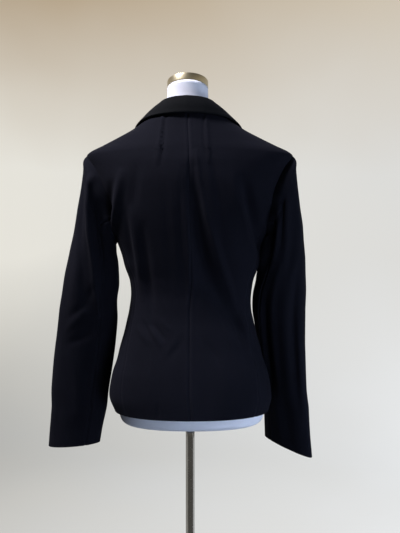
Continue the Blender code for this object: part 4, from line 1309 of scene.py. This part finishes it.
button = {
    "radius": 0.0100,
    "thickness": 0.0032,
    "rim": 0.0019,
    "hole": 0.00085,
    "holeOut": 0.0019,
    "shank": 0.0011,
    "shankRadius": 0.0016,
    "shankFrom": -0.0010,
    "shankRise": 0.20,  # this and the shares below are parts of the button's thickness
    "plateIn": 0.0006,
    "plateShare": 0.62,
    "plateRise": 0.42,
    "plateBevel": 0.0004,
    "ringShare": 0.9,
    "ringRise": 0.46,
    "ringBevel": 0.0007,
    "around": 64,
    "holeAround": 12,
    "threadRadius": 0.00034,
    "threadApart": 0.0003,
    "threadRise": 0.78,
    "threadBow": 0.0005,
    "threadDip": 0.0016,
    "threadSteps": 9,
    "sharpFrom": 42,  # degrees
    "levels": (("upper", 1.132), ("lower", 1.052)),
}


# What an unlinked object comes to, as a mesh of its own
def plainMesh(holder):
    bpy.context.scene.collection.objects.link(holder)
    bpy.context.view_layer.update()
    view = bpy.context.evaluated_depsgraph_get()
    data = bpy.data.meshes.new_from_object(holder.evaluated_get(view))
    bpy.data.objects.remove(holder)
    return data


# A flat plate cut out by circles, with soft edges
def discMesh(name, circles, height, bevel):
    shape = bpy.data.curves.new(name, "CURVE")
    shape.dimensions = "2D"
    shape.fill_mode = "BOTH"
    shape.extrude = max(height / 2 - bevel, 0.0)
    shape.bevel_depth = bevel
    shape.bevel_resolution = 2
    shape.offset = -bevel
    for x, y, radius, count in circles:
        spline = shape.splines.new("POLY")
        spline.points.add(count - 1)
        for i, point in enumerate(spline.points):
            turn = 2 * math.pi * i / count
            point.co = (x + radius * math.cos(turn), y + radius * math.sin(turn), 0, 1)
        spline.use_cyclic_u = True
    return plainMesh(bpy.data.objects.new(name, shape))


def threadRun(points, radius):
    shape = bpy.data.curves.new("threadRun", "CURVE")
    shape.dimensions = "3D"
    shape.bevel_depth = radius
    shape.bevel_resolution = 2
    shape.use_fill_caps = True
    spline = shape.splines.new("POLY")
    spline.points.add(len(points) - 1)
    for point, place in zip(spline.points, points):
        point.co = (*place, 1)
    return plainMesh(bpy.data.objects.new("threadRun", shape))


# Short thread stitches along a path, each turned a little by chance from a fixed seed
def stitchTree():
    tree = bpy.data.node_groups.new("stitchesAlong", "GeometryNodeTree")
    face = tree.interface
    face.new_socket("Geometry", in_out="INPUT", socket_type="NodeSocketGeometry")
    for name, value in (("Length", 0.002), ("Thickness", 0.0004), ("Spacing", 0.0006)):
        face.new_socket(name, in_out="INPUT", socket_type="NodeSocketFloat").default_value = value
    face.new_socket("Thread", in_out="INPUT", socket_type="NodeSocketMaterial")
    face.new_socket("Geometry", in_out="OUTPUT", socket_type="NodeSocketGeometry")
    add, link = tree.nodes.new, tree.links.new
    start, end = add("NodeGroupInput"), add("NodeGroupOutput")
    path = add("GeometryNodeMeshToCurve")
    spread = add("GeometryNodeCurveToPoints")
    spread.mode = "LENGTH"
    stitch = add("GeometryNodeMeshUVSphere")
    stitch.inputs["Segments"].default_value = 8
    stitch.inputs["Rings"].default_value = 6
    stitch.inputs["Radius"].default_value = 0.5
    put = add("GeometryNodeInstanceOnPoints")
    size = add("ShaderNodeCombineXYZ")
    real = add("GeometryNodeRealizeInstances")
    paint = add("GeometryNodeSetMaterial")
    seed = add("FunctionNodeRandomValue")
    seed.data_type = "FLOAT_VECTOR"
    seed.inputs[0].default_value = (-0.10, -0.10, -0.14)
    seed.inputs[1].default_value = (0.10, 0.10, 0.14)
    seed.inputs["Seed"].default_value = 7
    turn = add("FunctionNodeRotateRotation")
    turn.rotation_space = "LOCAL"
    link(start.outputs["Geometry"], path.inputs[0])
    link(path.outputs[0], spread.inputs["Curve"])
    link(start.outputs["Spacing"], spread.inputs["Length"])
    link(spread.outputs["Points"], put.inputs["Points"])
    link(spread.outputs["Rotation"], turn.inputs[0])
    link(seed.outputs[0], turn.inputs[1])
    link(turn.outputs[0], put.inputs["Rotation"])
    link(stitch.outputs["Mesh"], put.inputs["Instance"])
    link(start.outputs["Length"], size.inputs[0])
    link(start.outputs["Thickness"], size.inputs[1])
    link(start.outputs["Thickness"], size.inputs[2])
    link(size.outputs[0], put.inputs["Scale"])
    link(put.outputs[0], real.inputs[0])
    link(real.outputs[0], paint.inputs[0])
    link(start.outputs["Thread"], paint.inputs["Material"])
    link(paint.outputs[0], end.inputs[0])
    return tree


stitches = stitchTree()


def stitchPath(name, path, length, thickness, spacing):
    data = bpy.data.meshes.new(name + "_path")
    data.from_pydata([tuple(p) for p in path], [(i, i + 1) for i in range(len(path) - 1)], [])
    holder = bpy.data.objects.new(name + "_path", data)
    modifier = holder.modifiers.new("stitches", "NODES")
    modifier.node_group = stitches
    sizes = {"Length": length, "Thickness": thickness, "Spacing": spacing, "Thread": thread}
    for item in stitches.interface.items_tree:
        if item.in_out == "INPUT" and item.name in sizes:
            modifier[item.identifier] = sizes[item.name]
    return plainMesh(holder)


# One piece of several meshes, each with its finish and its place
def joined(name, parts):
    mesh = bmesh.new()
    finishes = []
    for data, finish, place in parts:
        if finish not in finishes:
            finishes.append(finish)
        start = len(mesh.faces)
        before = len(mesh.verts)
        mesh.from_mesh(data)
        mesh.verts.ensure_lookup_table()
        mesh.faces.ensure_lookup_table()
        bmesh.ops.transform(mesh, matrix=place, verts=mesh.verts[before:])
        for face in mesh.faces[start:]:
            face.material_index = finishes.index(finish)
            face.smooth = True
    data = bpy.data.meshes.new(name)
    bmesh.ops.recalc_face_normals(mesh, faces=mesh.faces)
    mesh.to_mesh(data)
    mesh.free()
    for finish in finishes:
        data.materials.append(finish)
    data.set_sharp_from_angle(angle=math.radians(button["sharpFrom"]))
    piece = bpy.data.objects.new(name, data)
    bpy.context.scene.collection.objects.link(piece)
    return piece


def buildButton(label, level):
    angle = angleAt(0.0, level)
    normal = Vector(surfaceNormal(angle, level))
    seat = Vector(bodyPoint(angle, level, np.array(body["wrapLift"] + button["shank"]), False))
    seat.x += float(leanShift(level))
    facing = normal.to_track_quat("Z", "Y").to_matrix().to_4x4()
    facing.translation = seat
    r, h, out, sides = button["radius"], button["thickness"], button["holeOut"], button["around"]
    circles = [(0, 0, r - button["plateIn"], sides)]
    for sx in (-1, 1):
        for sy in (-1, 1):
            circles.append((sx * out, sy * out, button["hole"], button["holeAround"]))
    plate = discMesh("plate", circles, h * button["plateShare"], button["plateBevel"])
    circles = [(0, 0, r, sides), (0, 0, r - button["rim"], sides)]
    ring = discMesh("ring", circles, h * button["ringShare"], button["ringBevel"])
    up = facing.copy()
    up.translation = seat + normal * h * button["plateRise"]
    high = facing.copy()
    high.translation = seat + normal * h * button["ringRise"]
    parts = [(plate, horn, up), (ring, horn, high)]
    for sx in (-1, 1):
        for apart in (-button["threadApart"], button["threadApart"]):
            arch = []
            for t in np.linspace(-1, 1, button["threadSteps"]):
                bow = button["threadBow"] * (1 - t * t)
                dip = button["threadDip"] * max(abs(t) - 0.8, 0) * 5
                arch.append((sx * out + apart, t * out, h * button["threadRise"] + bow - dip))
            parts.append((threadRun(arch, button["threadRadius"]), thread, facing))
    shank = threadRun([(0, 0, button["shankFrom"]), (0, 0, h * button["shankRise"])], button["shankRadius"])
    parts.append((shank, thread, facing))
    keep(joined("button_" + label + "_horn", parts), "button_" + label)


buttonhole = {
    "startX": 0.0030,  # it lies across the wearer's right front
    "length": 0.0180,
    "points": 25,
    "halfWidth": 0.0011,
    "lift": 0.0002,
    "stitch": 0.0007,
    "stitchAcross": 0.0016,
    "spacing": 0.00052,
}


def buildButtonhole(label, level):
    path = []
    for t in np.linspace(0, 1, buttonhole["points"]):
        x = buttonhole["startX"] - buttonhole["length"] * t
        lift = np.array(float(wrapLift(0.0)) + buttonhole["lift"])
        spot = bodyPoint(angleAt(x, level), level, lift)
        path.append((spot[0] + float(leanShift(level)), spot[1], spot[2]))
    half = buttonhole["halfWidth"]
    low = [(x, y, z - half) for x, y, z in path]
    high = [(x, y, z + half) for x, y, z in path[::-1]]
    data = stitchPath("hole_" + label, low + high + low[:1], buttonhole["stitch"],
                      buttonhole["stitchAcross"], buttonhole["spacing"])
    keep(placed("buttonhole_" + label, data, thread), None)


for label, level in button["levels"]:
    buildButton(label, level)
    buildButtonhole(label, level)
print("buttons made")

stage = {
    "floorLevel": -0.0006,
    "floorHole": 0.02,
    "floorRadius": 2.7,
    "bend": 1.1,
    "bendSteps": 14,
    "wallHeight": 4.2,
    "around": 96,
    "left": (0.776, 0.760, 0.690),  # the plaster's colour with painted light towards the wearer's left, then right; painted shade high; painted shade low at the left and painted light low at the right
    "right": (0.700, 0.700, 0.675),
    "shadedHighLeft": (0.430, 0.320, 0.195),
    "shadedHighRight": (0.610, 0.530, 0.410),
    "shadedLowLeft": (0.310, 0.310, 0.295),
    "litLowRight": (0.760, 0.785, 0.800),
    "acrossRate": 0.36,  # how fast the painted light and shade change across and up, for each metre
    "upRate": 0.62,
    "highFrom": 1.10,
    "lowTo": 0.80,
    "glow": 0.85,
    "lit": 0.30,
}


def plasterPaintedLight():
    paint = Paint("plasterWithPaintedLight")
    space = paint.place()
    x, _, z = paint.split(space)
    cloud = paint.noise(space, 0.9)
    # Painted light and shade: lighter towards the wearer's left and darker towards the top. Low down and
    # over the floor there is painted shade at the wearer's left and pale blue painted light at the right.
    across = (0.5 - x * stage["acrossRate"] + (cloud - 0.5) * 0.3).clip()
    rise = (z * stage["upRate"] - stage["highFrom"] + (cloud - 0.5) * 0.5).clip()
    fall = (stage["lowTo"] - z * stage["upRate"] + (cloud - 0.5) * 0.4).clip()
    colour = paint.mixed(across, stage["left"], stage["right"])
    colour = paint.mixed(rise, colour, paint.mixed(across, stage["shadedHighLeft"], stage["shadedHighRight"]))
    colour = paint.mixed(fall, colour, paint.mixed(across, stage["shadedLowLeft"], stage["litLowRight"]))
    # The sweep glows with its painted light and shade, as well as taking a share of the lamps' light
    return paint.finish({
        "Base Color": paint.mixed(stage["lit"], (0.0, 0.0, 0.0), colour),
        "Roughness": 0.9,
        "Normal": paint.relief(paint.noise(space, 90.0, 3.0), 0.001, 0.15),
        "Specular IOR Level": 0.1,
        "Emission Color": colour,
        "Emission Strength": stage["glow"],
    })


def buildStage():
    floor, radius, bend = stage["floorLevel"], stage["floorRadius"], stage["bend"]
    profile = [(stage["floorHole"], floor), (radius, floor)]
    for turn in np.linspace(0, math.pi / 2, stage["bendSteps"])[1:]:
        profile.append((radius + bend * math.sin(turn), floor + bend * (1 - math.cos(turn))))
    profile.append((radius + bend, stage["wallHeight"]))
    rings = turnedRings(profile, stage["around"])
    number = np.arange(len(profile) * stage["around"]).reshape(-1, stage["around"])
    after = np.roll(number, -1, axis=1)
    faces = np.stack([number[:-1], number[1:], after[1:], after[:-1]], -1).reshape(-1, 4).tolist()
    faces.append(number[0].tolist())
    data = bpy.data.meshes.new("studioSweep")
    data.from_pydata(rings.reshape(-1, 3).tolist(), [], faces)
    sweep = placed("studioSweep", data, plasterPaintedLight())
    sweep.visible_shadow = False
    sweep.visible_diffuse = False


dimRoom = {
    "rings": ((30, 170, 0.55, 0.012), (30, 170, 2.6, 0.02), (-40, 112, 2.6, 3.4)),
    "steps": 25,
    "low": (0.12, 0.115, 0.105),
    "high": (0.26, 0.24, 0.20),
}


# A dim room behind the camera, seen only in what metal and buttons reflect
def buildDimRoom():
    count = dimRoom["steps"]
    rings = []
    for start, end, reach, z in dimRoom["rings"]:  # degrees, then metres out and up
        turns = np.radians(np.linspace(start, end, count))
        rings.append(np.stack([reach * np.cos(turns), reach * np.sin(turns), z + 0 * turns], -1))
    quads = [(i, i + 1, i + 1 + count, i + count) for i in range(2 * count - 1) if i != count - 1]
    data = bpy.data.meshes.new("dimRoom")
    data.from_pydata(np.concatenate(rings).tolist(), [], quads)
    paint = Paint("dimRoomGlow")
    z = paint.split(paint.place())[2]
    glow = paint.mixed((z * 0.7 - 0.4).clip(), dimRoom["low"], dimRoom["high"])
    material = paint.finish({"Base Color": (0.0, 0.0, 0.0), "Roughness": 1.0,
                             "Emission Color": glow, "Emission Strength": 1.0})
    room = placed("dimRoom", data, material)
    room.visible_camera = False
    room.visible_shadow = False
    room.visible_diffuse = False
    room.visible_transmission = False


buildStage()
buildDimRoom()

light = {
    "world": (0.80, 0.84, 1.0),
    "worldStrength": 0.035,
    "lamps": (  # name, place, aim, size, spread in degrees, power and colour
        ("windowLight", (1.30, 0.46, 3.50), (0, 0, 1.15), 0.5, 180, 180.0, (1.0, 0.95, 0.96)),
        ("roomLight", (-2.7, 0.75, 1.50), (-0.1, 0, 1.0), 1.3, 180, 40.0, (0.76, 0.85, 1.0)),
        ("floorLight", (-0.7, 1.20, 0.5), (0, 0, 0.90), 0.5, 180, 7.5, (0.74, 0.84, 1.0)),
        ("cuffLight", (-0.95, 1.25, 0.30), (-0.27, 0, 0.82), 0.4, 50, 0.55, (0.68, 0.82, 1.0)),
        ("frontLight", (0.9, -2.3, 2.5), (0, 0, 1.15), 1.6, 180, 32.0, (1.0, 0.98, 0.94)),
    ),
}


def buildLight():
    world = bpy.data.worlds.new("room")
    bpy.context.scene.world = world
    world.use_nodes = True
    sky = world.node_tree.nodes["Background"]
    sky.inputs["Color"].default_value = (*light["world"], 1.0)
    sky.inputs["Strength"].default_value = light["worldStrength"]
    for name, place, aim, size, spread, power, colour in light["lamps"]:
        lamp = bpy.data.lights.new(name, "AREA")
        lamp.size, lamp.energy, lamp.color = size, power, colour
        lamp.spread = math.radians(spread)
        holder = bpy.data.objects.new(name, lamp)
        holder.location = place
        holder.rotation_euler = (Vector(aim) - Vector(place)).to_track_quat("-Z", "Y").to_euler()
        holder.visible_camera = False
        holder.visible_glossy = name == "windowLight"
        bpy.context.scene.collection.objects.link(holder)
    view = bpy.context.scene.view_settings
    view.view_transform = "Standard"
    view.look = "None"


camera = {
    "place": (-0.0195, 1.36, 1.14),
    "focal": 680.0,  # in pixels, of a picture 533 high
    "pictureHeight": 533.0,
    "film": 36.0,
}


def buildCamera():
    lens = bpy.data.cameras.new("camera")
    lens.sensor_width = camera["film"]
    lens.lens = camera["focal"] * camera["film"] / camera["pictureHeight"]
    holder = bpy.data.objects.new("camera", lens)
    holder.location = camera["place"]
    holder.rotation_euler = (math.radians(90), 0, math.radians(180))
    bpy.context.scene.collection.objects.link(holder)
    bpy.context.scene.camera = holder


buildLight()
buildCamera()
print("stage, light and camera made")
